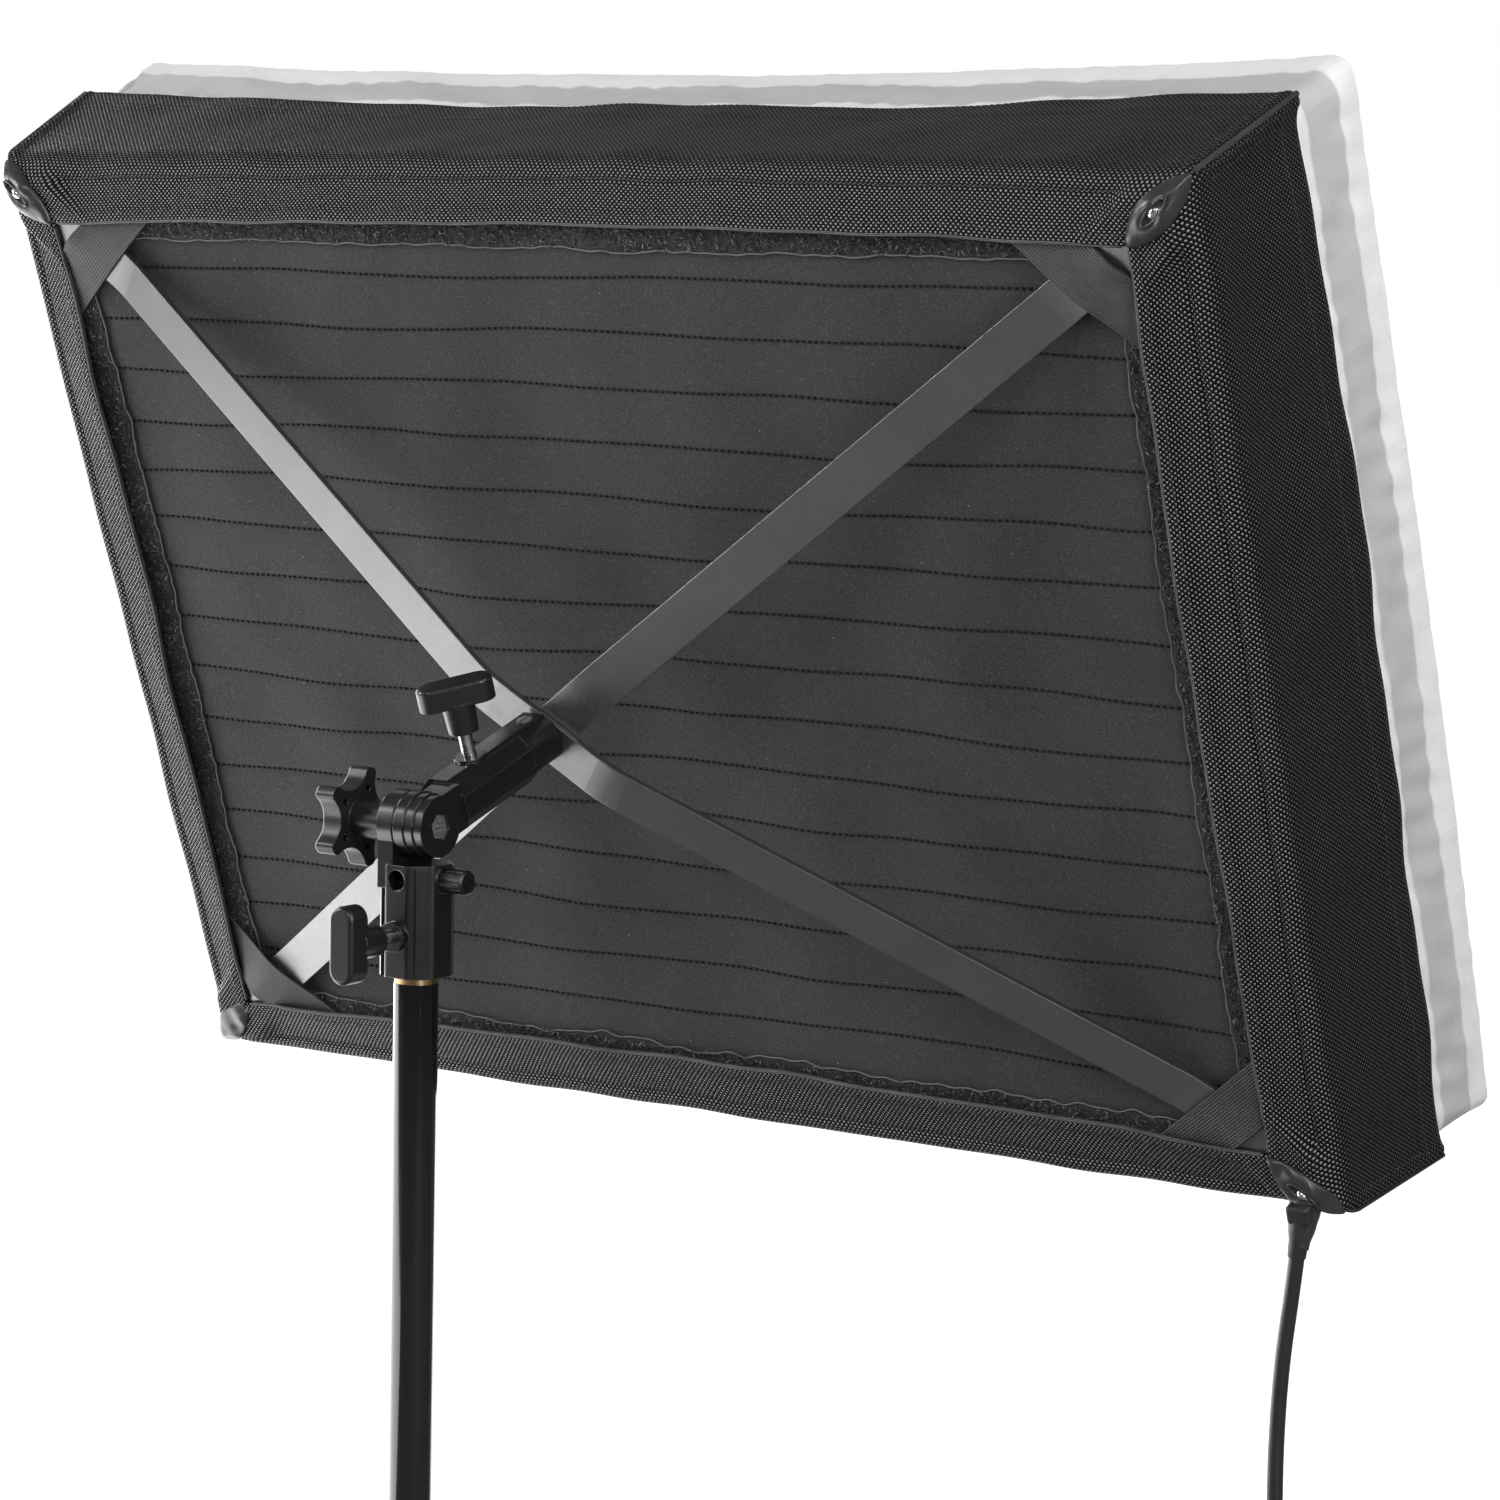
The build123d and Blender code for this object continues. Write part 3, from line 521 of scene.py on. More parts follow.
def diffuser_cloth():
    """Thin white ripstop: a fine grid of thicker threads, brighter where it is doubled, and on the front face
    painted whiter as painted light.
    """
    m = Shade("diffuser_cloth", (0.8, 0.8, 0.81), 0.5, Specular_IOR_Level=0.35)
    lines = []
    for place in m.cloth():
        wave = m.math("ABSOLUTE", m.math("SINE", m.math("MULTIPLY", place, math.pi / 5.0)))
        lines.append(m.ramp(wave, 0.0, 0.16, 1.0, 0.0))
    grid = m.math("MAXIMUM", *lines)
    weave, _ = m.weave(0.4)
    # This attribute holds the cloth's layers and also painted light: the front face is given extra layers to paint
    # it whiter.
    layers_and_painted_light = m.attribute("layers_and_painted_light").outputs["Fac"]
    single = m.mix(grid, (0.6, 0.6, 0.61), (0.7, 0.7, 0.71))
    m.set(Base_Color=m.mix(m.ramp(layers_and_painted_light, 1.0, 2.0), single, (0.96, 0.96, 0.96)))
    height = m.math("MULTIPLY_ADD", weave, 0.35, m.math("MULTIPLY", grid, 0.65))
    m.set(Normal=m.bump(height, 0.00025, 0.8))
    through = m.node("ShaderNodeBsdfTranslucent", {"Color": (0.9, 0.9, 0.91)})
    share = m.node("ShaderNodeMixShader", {0: 0.35, 1: m.shader.outputs[0], 2: through.outputs[0]})
    output = m.tree.nodes["Material Output"]
    m.tree.links.new(share.outputs[0], output.inputs["Surface"])
    return m.material


def thread(name, color):
    m = Shade(name, color, 0.75, Sheen_Weight=0.05, Specular_IOR_Level=0.2)
    twist = m.node("ShaderNodeTexWave", {"Vector": m.place(), "Scale": 900.0, "Distortion": 1.0})
    return m.set(Normal=m.bump(twist.outputs["Fac"], 0.0001, 0.7)).material


def rubber(name, color, low, high):
    m = Shade(name, color, (low + high) / 2)
    colors = tuple(c * 0.7 for c in color), tuple(c * 1.5 for c in color)
    return mottled(m, (50, 4), colors, (160, 3, low, high), (900, 3, 0.00008, 0.7))


def led_board():
    m = Shade("led_board", (0.75, 0.75, 0.72), 0.4)
    return mottled(m, (30, 3), ((0.7, 0.69, 0.66), (0.82, 0.82, 0.8)), None, (500, 2, 0.00005, 0.5))


def led_phosphor():
    m = Shade("led_phosphor", (0.85, 0.72, 0.2), 0.3, Coat_Weight=0.5)
    return mottled(m, (400, 2), ((0.85, 0.7, 0.16), (0.9, 0.8, 0.35)), None, (1200, 2, 0.00005, 0.5))


BLACK_CASTING = black_casting()
KNOB_PLASTIC = knob_plastic()
STAND_PAINT = stand_paint()
BRASS = metal("brass", (0.62, 0.42, 0.22), 0.22, 0.36, 260, 0.00003)
ZINC = metal("zinc_steel", (0.6, 0.6, 0.61), 0.28, 0.5, 900, 0.0006)
BRIGHT = metal("bright_steel", (0.62, 0.6, 0.58), 0.2, 0.34, 300, 0.00003)
BLACK_STEEL = metal("black_steel", (0.06, 0.06, 0.062), 0.35, 0.5, 400, 0.00004)
BAR_PAINT = bar_paint()
SKIRT_NYLON = skirt_nylon()
MAT_JERSEY = mat_jersey()
LOOP_PILE = loop_pile()
WEBBING = ribbed("webbing", (0.008, 0.008, 0.008), (0.085, 0.085, 0.087), 1.3)
BINDING = ribbed("binding", (0.02, 0.02, 0.02), (0.17, 0.17, 0.173), 0.9)
SEAM_BINDING = ribbed("seam_binding", (0.006, 0.006, 0.006), (0.06, 0.06, 0.061), 1.2)
HOOK_TAPE = ribbed("hook_tape", (0.008, 0.008, 0.008), (0.03, 0.03, 0.03), 1.4, 0.5)
WHITE_TAPE = ribbed("white_tape", (0.6, 0.6, 0.6), (0.85, 0.85, 0.85), 1.2, 0.7)
VINYL = vinyl()
DIFFUSER = diffuser_cloth()
BLACK_THREAD = thread("black_thread", (0.002, 0.002, 0.002))
GREY_THREAD = thread("grey_thread", (0.03, 0.03, 0.03))
EDGE_THREAD = thread("edge_thread", (0.13, 0.13, 0.13))
FIBREGLASS = rubber("fibreglass", (0.02, 0.02, 0.022), 0.25, 0.4)
BLACK_RUBBER = rubber("black_rubber", (0.014, 0.014, 0.014), 0.4, 0.6)
CABLE_JACKET = rubber("cable_jacket", (0.014, 0.014, 0.015), 0.28, 0.42)
LED_BOARD = led_board()
LED_PHOSPHOR = led_phosphor()

SLOT_MATERIALS = {
    "stand_paint": STAND_PAINT, "brass": BRASS, "black_plastic": KNOB_PLASTIC, "head_paint": BLACK_CASTING,
    "friction_washer": BLACK_RUBBER, "zinc_steel": ZINC, "bright_steel": BRIGHT, "black_steel": BLACK_STEEL,
    "bar_paint": BAR_PAINT, "mat_jersey": MAT_JERSEY, "led_board": LED_BOARD, "led_phosphor": LED_PHOSPHOR,
    "loop_pile": LOOP_PILE, "hook_tape": HOOK_TAPE, "rod_fibreglass": FIBREGLASS, "skirt_nylon": SKIRT_NYLON,
    "webbing": WEBBING, "glossy_vinyl": VINYL, "diffuser_cloth": DIFFUSER, "white_tape": WHITE_TAPE,
    "black_rubber": BLACK_RUBBER, "cable_jacket": CABLE_JACKET,
}


def dress_cad_nodes():
    """Gives every CAD node the finish of its own material slot in the record."""
    for entry in frame["record"]["subparts"]:
        mesh = frame["nodes"][entry["node"]].data
        mesh.materials.clear()
        mesh.materials.append(SLOT_MATERIALS[entry["material_slot"]])


# ---- camera, floor and light ---------------------------------------------------------------------
def make_camera():
    azimuth, elevation, roll = (math.radians(angle) for angle in (35.1, 6.48, 1.17))
    target, distance = Vector((0.1693, 0.0, TILT_AXIS.z + 0.0453)), 1.82
    back = Vector((
        math.sin(azimuth) * math.cos(elevation), -math.cos(azimuth) * math.cos(elevation), math.sin(elevation)
    ))
    right = Vector((math.cos(azimuth), math.sin(azimuth), 0))
    up = back.cross(right)
    turned_right = right * math.cos(roll) + up * math.sin(roll)
    turned_up = up * math.cos(roll) - right * math.sin(roll)
    data = bpy.data.cameras.new("camera")
    data.lens, data.sensor_width = 109.97, 36.0
    camera = link("camera", data)
    turn = Matrix((turned_right, turned_up, back)).transposed().to_4x4()
    camera.matrix_world = Matrix.Translation(target + back * distance) @ turn
    data.clip_start, data.clip_end = 0.05, 100
    bpy.context.scene.camera = camera


def area_light(name, place, aim, size, power):
    data = bpy.data.lights.new(name, "AREA")
    data.shape, data.size, data.size_y, data.energy = "RECTANGLE", size[0], size[1], power
    light = link(name, data)
    light.location = place
    light.rotation_euler = (Vector(aim) - Vector(place)).to_track_quat("-Z", "Y").to_euler()
    light.visible_camera = False


def make_stage():
    """A wide pale floor just under the cable's connector, a white sky and soft lamps."""
    floor_z = CAD_BOX[0].z - 0.012
    mesh = bpy.data.meshes.new("floor")
    radius, count = 40.0, 96
    ring = [(radius * math.cos(math.tau * k / count), radius * math.sin(math.tau * k / count), floor_z)
            for k in range(count)]
    mesh.from_pydata(ring, [], [tuple(range(count))])
    paper = Shade("floor_paper", (0.9, 0.9, 0.9), 0.9, Emission_Color=(1, 1, 1, 1))
    paper.set(Base_Color=paper.mix(paper.noise(3, 3), (0.2, 0.2, 0.2), (0.22, 0.22, 0.22)))
    seen = paper.node("ShaderNodeLightPath").outputs["Is Camera Ray"]
    paper.set(Emission_Strength=paper.math("MULTIPLY", seen, 0.97))
    mesh.materials.append(paper.material)
    link("floor", mesh)

    world = bpy.data.worlds.new("studio")
    world.use_nodes = True
    tree = world.node_tree
    background = tree.nodes["Background"]
    background.inputs["Color"].default_value = (1, 1, 1, 1)
    path = tree.nodes.new("ShaderNodeLightPath")
    level = tree.nodes.new("ShaderNodeMapRange")
    level.inputs["To Min"].default_value = 0.16
    tree.links.new(path.outputs["Is Camera Ray"], level.inputs["Value"])
    tree.links.new(level.outputs["Result"], background.inputs["Strength"])
    bpy.context.scene.world = world
    bpy.context.scene.view_settings.view_transform = "Standard"

    middle = (0.0, 0.15, TILT_AXIS.z)
    area_light("low_left_panel", (-1.68, -0.32, floor_z + 0.03), (-1.68, -0.32, 1.0), (2.4, 1.64), 52)
    area_light("left_panel", (-2.0, -1.2, 1.2), middle, (0.5, 1.4), 46)
    area_light("rear_panel", (0.6, -2.6, 1.9), middle, (1.0, 1.0), 26)
    area_light("right_panel", (1.9, -0.9, 1.0), middle, (0.4, 1.4), 26)
    area_light("side_high_panel", (1.9, 0.5, 1.8), middle, (1.5, 1.5), 24)
    area_light("front_panel", (-0.4, 2.6, 0.9), middle, (2.0, 2.0), 16)
    area_light("left_front_panel", (-2.2, 0.9, 0.8), middle, (1.0, 2.0), 48)
    area_light("front_left_floor_panel", (-1.2, 1.6, floor_z + 0.03), (-1.2, 1.6, 1.0), (2.8, 1.9), 50)


# ---- skirt: four sewn panels with their rear flanges ---------------------------------------------
HEM_SAG = {"top": 7.0, "bottom": -2.5, "left": 2.5, "right": -2.0}    # inward at the middle of a hem
RIM_BOW = {"top": 5.0, "bottom": -5.0, "left": -2.0, "right": -1.5}   # outward at the inner edge


WALL_ROWS, FOLD_ROWS, FLANGE_ROWS = 26, 14, 26


def skirt_profile():
    """(forward, outward and along measured from the fold's pair to each end's pair) from hem to rim."""
    hem = np.array([SKIRT_FRONT_Y, *SKIRT_FRONT_HALF])
    fold = np.array([FOLD_Y, *FOLD_HALF])
    rim = np.array([RIM_Y, *RIM_HALF])
    near_fold = fold + (hem - fold) * 0.1
    on_flange = fold + (rim - fold) * 0.24
    t = np.linspace(0, 1, WALL_ROWS, endpoint=False)
    wall = hem + (near_fold - hem) * t[:, None]
    t = np.linspace(0, 1, FOLD_ROWS, endpoint=False)[:, None]
    bend = near_fold * (1 - t) ** 2 + 2 * fold * t * (1 - t) + on_flange * t ** 2
    t = np.linspace(0, 1, FLANGE_ROWS)[:, None]
    flange = on_flange + (rim - on_flange) * t
    return np.concatenate([wall, bend, flange])


SKIRT_PROFILE = skirt_profile()
PROFILE_LENGTH = travelled(SKIRT_PROFILE[:, [0, 2]])
FOLD_LENGTH = float(PROFILE_LENGTH[WALL_ROWS:WALL_ROWS + FOLD_ROWS].mean())
RIM_LENGTH = float(PROFILE_LENGTH[-1])
SEAM_PLACE = 9.0          # the flange's stitched line, from the fold


def tip_swell(share):
    """How far a bar's tip lifts the flange at its mitre, for shares 0 at the rim to 1 at the fold."""
    return (1.05 * (FOLD_Y - RIM_Y) * share + 0.5) * smoothstep(0.98, 0.6, share)


def skirt_slack(side, along, length, half):
    """(inward, rearward) shift of a skirt panel in mm: the hem's sag, the rim's bow and soft folds."""
    seed = list(SIDES).index(side) * 10
    middle = np.clip(1 - (along / half) ** 2, 0, 1)
    to_hem = smoothstep(FOLD_LENGTH, 0, length)
    to_rim = smoothstep(FOLD_LENGTH, RIM_LENGTH, length)
    field, ripple = waves(seed, 6, 110, 260), waves(seed + 1, 5, 35, 80)
    inward = HEM_SAG[side] * middle * to_hem - RIM_BOW[side] * middle * to_rim
    inward = inward - (1.5 if side == "top" else 0) * middle * (1 - to_hem) * (1 - to_rim)
    calm = smoothstep(0, 0.12, middle)
    inward = inward + calm * (0.8 * field(along, length) * (0.25 + to_hem) + 0.3 * ripple(along, length))
    billow = 0.7 + 0.6 * field(along + 400, length) + 0.25 * ripple(along + 300, length)
    rearward = calm * to_rim * np.maximum(billow, 0.05)
    seam = length - FOLD_LENGTH - SEAM_PLACE
    rearward = rearward + 0.9 * hump(seam + 4.2, 2.8) - hump(seam, 1.1)
    share = np.clip(1 - (length - FOLD_LENGTH) / (RIM_LENGTH - FOLD_LENGTH), 0, 1)
    over_tip = tip_swell(share) * smoothstep(29, 19, half - np.abs(along)) * (length > FOLD_LENGTH)
    rearward = rearward * smoothstep(15, 29, half - np.abs(along)) + over_tip
    allowance = hump(half - np.abs(along) - 4.5, 2.0) * (1 - to_rim)
    return inward - 0.9 * allowance, rearward


def skirt_surface(side, shares, lengths, depth=SKIRT_CLOTH / 2):
    """Points of a panel for shares -1 to 1 along it and lengths from the hem, and their places along it."""
    forward, wide, high = (np.interp(lengths, PROFILE_LENGTH, SKIRT_PROFILE[:, k])[:, None] for k in range(3))
    outward, half = (wide, high) if SIDES[side][1] == 0 else (high, wide)
    along = shares[None, :] * half
    inward, rearward = skirt_slack(side, along, np.asarray(lengths)[:, None], half)
    return side_points(side, along, forward - rearward, outward - depth - inward), along


def edge_shares(count):
    """Places from -1 to 1, closer together near both ends."""
    t = np.linspace(-1, 1, count)
    return np.sign(t) * (1 - (1 - np.abs(t)) ** 1.25)


def facing_out(side, points):
    """Unit normals of a panel's grid that point away from the box."""
    normals = surface_normals(points)
    outward = np.zeros(3)
    outward[SIDES[side][1]] = SIDES[side][2]
    return normals if normals[3].mean(0) @ outward > 0 else -normals


def make_skirt():
    """Each side is one panel of woven nylon, hemmed at the front and folded over at the back."""
    seams = []
    for side in SIDES:
        shares = edge_shares(240 if SIDES[side][0] == 0 else 180)
        points, along = skirt_surface(side, shares, PROFILE_LENGTH)
        lengths = np.broadcast_to(PROFILE_LENGTH[:, None], along.shape)
        hem = 0.8 * smoothstep(16.5, 15.0, lengths)
        rim = 1.2 * smoothstep(RIM_LENGTH - 7.0, RIM_LENGTH - 5.5, lengths)
        panel = thick_sheet(
            f"skirt_cloth_{side}", points, SKIRT_CLOTH + hem + rim, "light", SKIRT_NYLON, (along, lengths)
        )
        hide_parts(f"skirt_{side}", f"rear_flange_{side}")
        normals = facing_out(side, points)
        rows_sewn = ((3.0, 1.1), (13.0, 1.0), (FOLD_LENGTH + SEAM_PLACE, 0.6), (RIM_LENGTH - 4.6, 1.2))
        for place, lift in rows_sewn:
            row = int(np.argmin(np.abs(PROFILE_LENGTH - place)))
            inner = slice(4, -4)
            seams.append((points[row, inner] + normals[row, inner] * lift, normals[row, inner]))
        for end in (-1, 1):
            for inset in (3.5, 8.0):
                share = 1 - inset / np.abs(along[:, 0])
                rows = np.arange(1, WALL_ROWS + 4)
                columns = [int(np.argmin(np.abs(shares - end * share[row]))) for row in rows]
                seams.append((points[rows, columns] + normals[rows, columns] * 0.75, normals[rows, columns]))
    sewing = stitches("skirt_stitching", seams, "light", GREY_THREAD, pitch=3.4, length=2.4, radius=0.3)
    make_rim_binding()


def make_rim_binding():
    """A thin rolled edge along the flange's inner rim."""
    for side in SIDES:
        shares = np.linspace(-0.985, 0.985, 160)
        points, _ = skirt_surface(side, shares, np.array([RIM_LENGTH - 0.4]))
        piece = tube(f"rim_binding_{side}", points[0], 1.15, "light", BINDING, 8)


def make_hook_tapes():
    """Hook tape sewn inside the skirt's hem, drawn as a ribbed strip without its hooks."""
    for side in SIDES:
        shares = np.linspace(-0.985, 0.985, 160)
        lengths = np.linspace(2.0, 18.0, 10)
        points, along = skirt_surface(side, shares, lengths, depth=SKIRT_CLOTH + 1.0)
        across = np.broadcast_to(lengths[:, None], along.shape)
        tape = thick_sheet(f"hook_tape_{side}", points, 0.9, "light", HOOK_TAPE, (along, across))
        if side == "top":
            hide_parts("skirt_hook_tape")


def make_corner_seams():
    """A rolled seam along each corner, from the front hem to the rear fold."""
    for name, (sx, sz) in CORNERS.items():
        rows = SKIRT_PROFILE[:WALL_ROWS + 8]
        line = np.stack([sx * (rows[:, 1] - 0.8), rows[:, 0], sz * (rows[:, 2] - 0.8)], -1)
        piece = tube(f"corner_seam_{name}", line, 1.3, "light", SEAM_BINDING, 8)


# ---- mat: quilted back, loop band and straps ------------------------------------------------------
QUILT_PITCH = 25.6
QUILT_TOP = 182.0
QUILT_LINES = 15
MAT_WAVES = waves(3, 7, 90, 240)
MAT_RIPPLE = waves(4, 7, 28, 70)


def quilt_drift(x, line):
    """How far a quilting line wanders from straight, in mm."""
    return 1.2 * np.sin(x / 70 + line * 0.9) + 0.8 * np.sin(x / 31 + line * 2.1)


def mat_back(x, z):
    """Y of the mat's rear face: soft vertical waves, and a groove along each quilting line."""
    y = MAT_BACK_Y + 0.9 - 0.7 * MAT_WAVES(x, z * 0.35) - 0.3 * MAT_RIPPLE(x, z * 0.5)
    for line in range(QUILT_LINES):
        distance = z - (QUILT_TOP - line * QUILT_PITCH) - quilt_drift(x, line)
        y = y + 0.55 * hump(distance, 1.8) + 0.3 * hump(distance, 6.5)
    return y


def make_mat():
    a, b = MAT_HALF
    x, z = np.meshgrid(np.linspace(-a, a, 330), np.linspace(-b, b, 420))
    back = mat_back(x, z)
    depth = np.minimum(2.8, MAT_FRONT_Y - back)
    points = np.stack([x, back + depth / 2, z], -1)
    mat = thick_sheet("quilted_mat", points, depth, "light", MAT_JERSEY, (x, z))
    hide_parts("led_mat")
    lines = []
    for line in range(QUILT_LINES):
        across = np.linspace(-a + 4, a - 4, 260)
        height = QUILT_TOP - line * QUILT_PITCH + quilt_drift(across, line)
        seam = np.stack([across, mat_back(across, height) - 0.3, height], -1)
        lines.append((seam, np.tile([0, -1.0, 0], (len(seam), 1))))
    sewing = stitches("mat_quilting", lines, "light", BLACK_THREAD, pitch=3.3, length=1.9, radius=0.72)


BAND_RAGGED = {"top": 0.35, "bottom": 0.9, "left": 0.4, "right": 0.5}


def make_loop_band():
    """Fuzzy strips round the mat's back: a tape with an edge, and loops of pile all over it."""
    inner_x, inner_z = 277.0, 196.0
    outer_x, outer_z = RIM_HALF[0] + 4, RIM_HALF[1] + 4
    pieces = []
    for side in SIDES:
        across = (inner_z, outer_z) if SIDES[side][1] == 2 else (inner_x, outer_x)
        half = outer_x if SIDES[side][1] == 2 else inner_z
        along, out = np.meshgrid(np.linspace(-half, half, 260), np.linspace(*across, 12))
        points = side_points(side, along, 0, out)
        points[..., 1] = mat_back(points[..., 0], points[..., 2]) - 1.0
        ragged = BAND_RAGGED[side] * waves(50 + len(pieces), 6, 14, 90)(along, 0)
        points[..., SIDES[side][1]] += SIDES[side][2] * ragged * smoothstep(6, 0, out - across[0])
        tape = thick_sheet(f"loop_tape_{side}", points, 1.0, "light", LOOP_PILE, (along, out))
        selvedge = points[0] + np.array([0, -0.7, 0])
        wobble = 0.6 * BAND_RAGGED[side] * waves(55 + len(pieces), 5, 7, 22)(along[0], 0)
        selvedge[:, SIDES[side][1]] += SIDES[side][2] * wobble
        tube(f"loop_edge_{side}", selvedge, 0.38, "light", EDGE_THREAD, 6)
        pieces.append((side, half, across, tape))
    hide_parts("loop_band")
    make_pile(pieces)


def make_pile(pieces):
    draw = np.random.default_rng(11)
    arch = [(-1, 0, 0), (-0.7, 0, 0.75), (0, 0, 1.0), (0.7, 0, 0.75), (1, 0, 0)]
    template, faces = [], []
    for x, _, z in arch:
        template += [(x, -0.12, z), (x, 0.12, z), (x, 0, z - 0.2)]
    for k in range(len(arch) - 1):
        for i, j in ((0, 1), (1, 2), (2, 0)):
            a, b = 3 * k + i, 3 * k + j
            faces.append((a, b, b + 3, a + 3))
    origins, axes, scales, shades = [], [], [], []
    for side, half, across, _ in pieces:
        count = int(2 * half * (across[1] - across[0]) * 0.42)
        along = draw.uniform(-half, half, count)
        out = draw.uniform(across[0] + 0.8, across[1], count)
        points = side_points(side, along, 0, out)
        points[:, 1] = mat_back(points[:, 0], points[:, 2]) - 1.4
        turn = draw.uniform(0, math.tau, count)
        lean = draw.normal(0, 0.35, (count, 2))
        first = unit(np.stack([np.cos(turn), lean[:, 0], np.sin(turn)], -1))
        up = np.stack([lean[:, 1], -np.ones(count), lean[:, 0]], -1)
        second = unit(np.cross(up, first))
        origins.append(points)
        axes.append(np.stack([first, second, np.cross(first, second)], 1))
        size = draw.uniform(0.7, 1.4, count)
        scales.append(np.stack([size * 0.9, size * 1.5, size * draw.uniform(0.6, 1.2, count)], -1))
        shades.append(draw.uniform(0, 1, count) ** 3)
    pile = copies(
        "loop_pile", template, faces, np.concatenate(origins), np.concatenate(axes), "light", LOOP_PILE,
        np.concatenate(scales), extra=np.concatenate(shades),
    )


def make_strap(name, sx, sz):
    """Ribbed webbing across the mat's corner, over the bar's tip, with its ends under the flange."""
    width, tuck = 25.0, 6.0
    start = np.array([RIM_HALF[0] - 60.0, RIM_HALF[1] + 2.0])
    end = np.array([RIM_HALF[0] + 4.0, RIM_HALF[1] - 51.0])
    run = unit(end - start)
    out = np.array([-run[1], run[0]])
    t, s = np.meshgrid(np.linspace(0, 1, 90), np.linspace(0, 1, 30))
    base = start + (s * width)[..., None] * out
    first = (RIM_HALF[1] + tuck - base[..., 1]) / run[1]
    last = (RIM_HALF[0] + tuck - base[..., 0]) / run[0]
    along = first + (last - first) * t
    place = base + along[..., None] * run
    slack = smoothstep(0.08, 0.5, t) * smoothstep(0.92, 0.5, t)
    bend = waves(40 + sx + 3 * sz, 4, 60, 120)(along, s * width)
    beyond = np.maximum(place[..., 0] - RIM_HALF[0], place[..., 1] - RIM_HALF[1])
    under = (FOLD_Y - RIM_Y) / (FOLD_HALF[0] - RIM_HALF[0]) * np.clip(beyond + 1.5, 0, None)
    rear = RIM_Y + 2.2 + under - slack * (3.6 + 1.2 * s + 0.8 * bend)
    points = np.stack([sx * place[..., 0], rear, sz * place[..., 1]], -1)
    edge = 0.35 * smoothstep(0.43, 0.47, np.abs(s - 0.5))
    strap = thick_sheet(f"corner_webbing_{name}", points, 1.1 + edge, "light", WEBBING, (along, s * width))
    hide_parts(f"corner_strap_{name}")


# ---- corner pockets ------------------------------------------------------------------------------
POCKET_LENGTH_SHARE = (-0.02, 0.93)       # along the mitre, from the rim's corner to the fold's
POCKET_HALF_WIDTH = 7.8


def flange_rear(x, z):
    """Y of the flange's rear face at a point of one quarter of it."""
    across = (x - RIM_HALF[0]) / (FOLD_HALF[0] - RIM_HALF[0])
    up = (z - RIM_HALF[1]) / (FOLD_HALF[1] - RIM_HALF[1])
    share = np.clip(np.maximum(across, up), 0, 1.6)
    return RIM_Y + (FOLD_Y - RIM_Y) * share - tip_swell(np.minimum(share, 1))


def pocket_point(sx, sz, t, s, lift):
    """A point of one corner's pocket: t runs along the mitre, s across it in mm, lift to the rear in mm."""
    inner, outer = np.array(RIM_HALF), np.array(FOLD_HALF)
    run = unit(outer - inner)
    side = np.array([-run[1], run[0]])
    share = POCKET_LENGTH_SHARE[0] + (POCKET_LENGTH_SHARE[1] - POCKET_LENGTH_SHARE[0]) * t
    place = inner + share[..., None] * (outer - inner) + s[..., None] * side
    rear = flange_rear(place[..., 0], place[..., 1]) - lift
    return np.stack([sx * place[..., 0], rear, sz * place[..., 1]], -1)


def make_pocket(name, sx, sz):
    """Satin vinyl pocket over the flange's mitre, open in a slit that shows the bar's bright tip.

    The one at the bottom left is pressed shut.
    """
    shut = (sx, sz) == (-1, -1)
    t, s = np.meshgrid(np.linspace(0, 1, 60), np.linspace(-1, 1, 34))
    outline = np.clip(np.sin(math.pi * np.clip(t, 0.004, 0.996)), 0, 1)
    half = POCKET_HALF_WIDTH * outline ** 0.75
    mouth = hump(t - 0.56, 0.2, 4) * hump(s, 0.34)
    swell = 4.2 * np.clip(1 - s ** 2, 0, 1) ** 0.55 * outline ** 0.5
    crease = waves(60 + sx + 3 * sz, 6, 8, 20)(t * 50, s * half)
    if shut:
        swell, mouth = 0.4 * swell, 0 * mouth
    lift = 0.7 + swell + 0.35 * crease * (1 - s ** 2) - 2.6 * mouth
    points = pocket_point(sx, sz, t, s * half, lift)
    piece = thick_sheet(f"pocket_vinyl_{name}", points, 0.9, "light", VINYL, (t * 50, s * half))
    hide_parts(f"corner_pocket_{name}")
    if shut:
        return
    turn = np.linspace(0, math.tau, 60)
    lip_t, lip_s = 0.56 + 0.2 * np.cos(turn), 2.3 * np.sin(turn)
    lip_lift = 4.1 + 0.4 * np.cos(2 * turn)
    lip = tube(f"pocket_lip_{name}", pocket_point(sx, sz, lip_t, lip_s, lip_lift), 0.7, "light", VINYL, 8)
    t = np.linspace(0.47, 0.63, 14)
    swell = 2.1 * np.sin(math.pi * np.linspace(0.04, 0.96, 14)) ** 0.6
    core = pocket_point(sx, sz, t, np.zeros_like(t), np.full_like(t, 3.0))
    tip = tube(f"bar_end_cap_{name}", core, swell, "light", BRIGHT, 14)


# ---- diffuser cap ----------------------------------------------------------------------------------
CAP_SAG = {"top": 7.0, "bottom": 2.0, "left": 2.5, "right": -2.0}
CAP_ROUND = 9.0
CAP_LAST_STEP = 3.0       # from the last station round the cap to the first
CAP_OUT = {"top": (0, 1), "right": (1, 0), "bottom": (0, -1), "left": (-1, 0)}
CAP_NEXT = {"top": "right", "right": "bottom", "bottom": "left", "left": "top"}


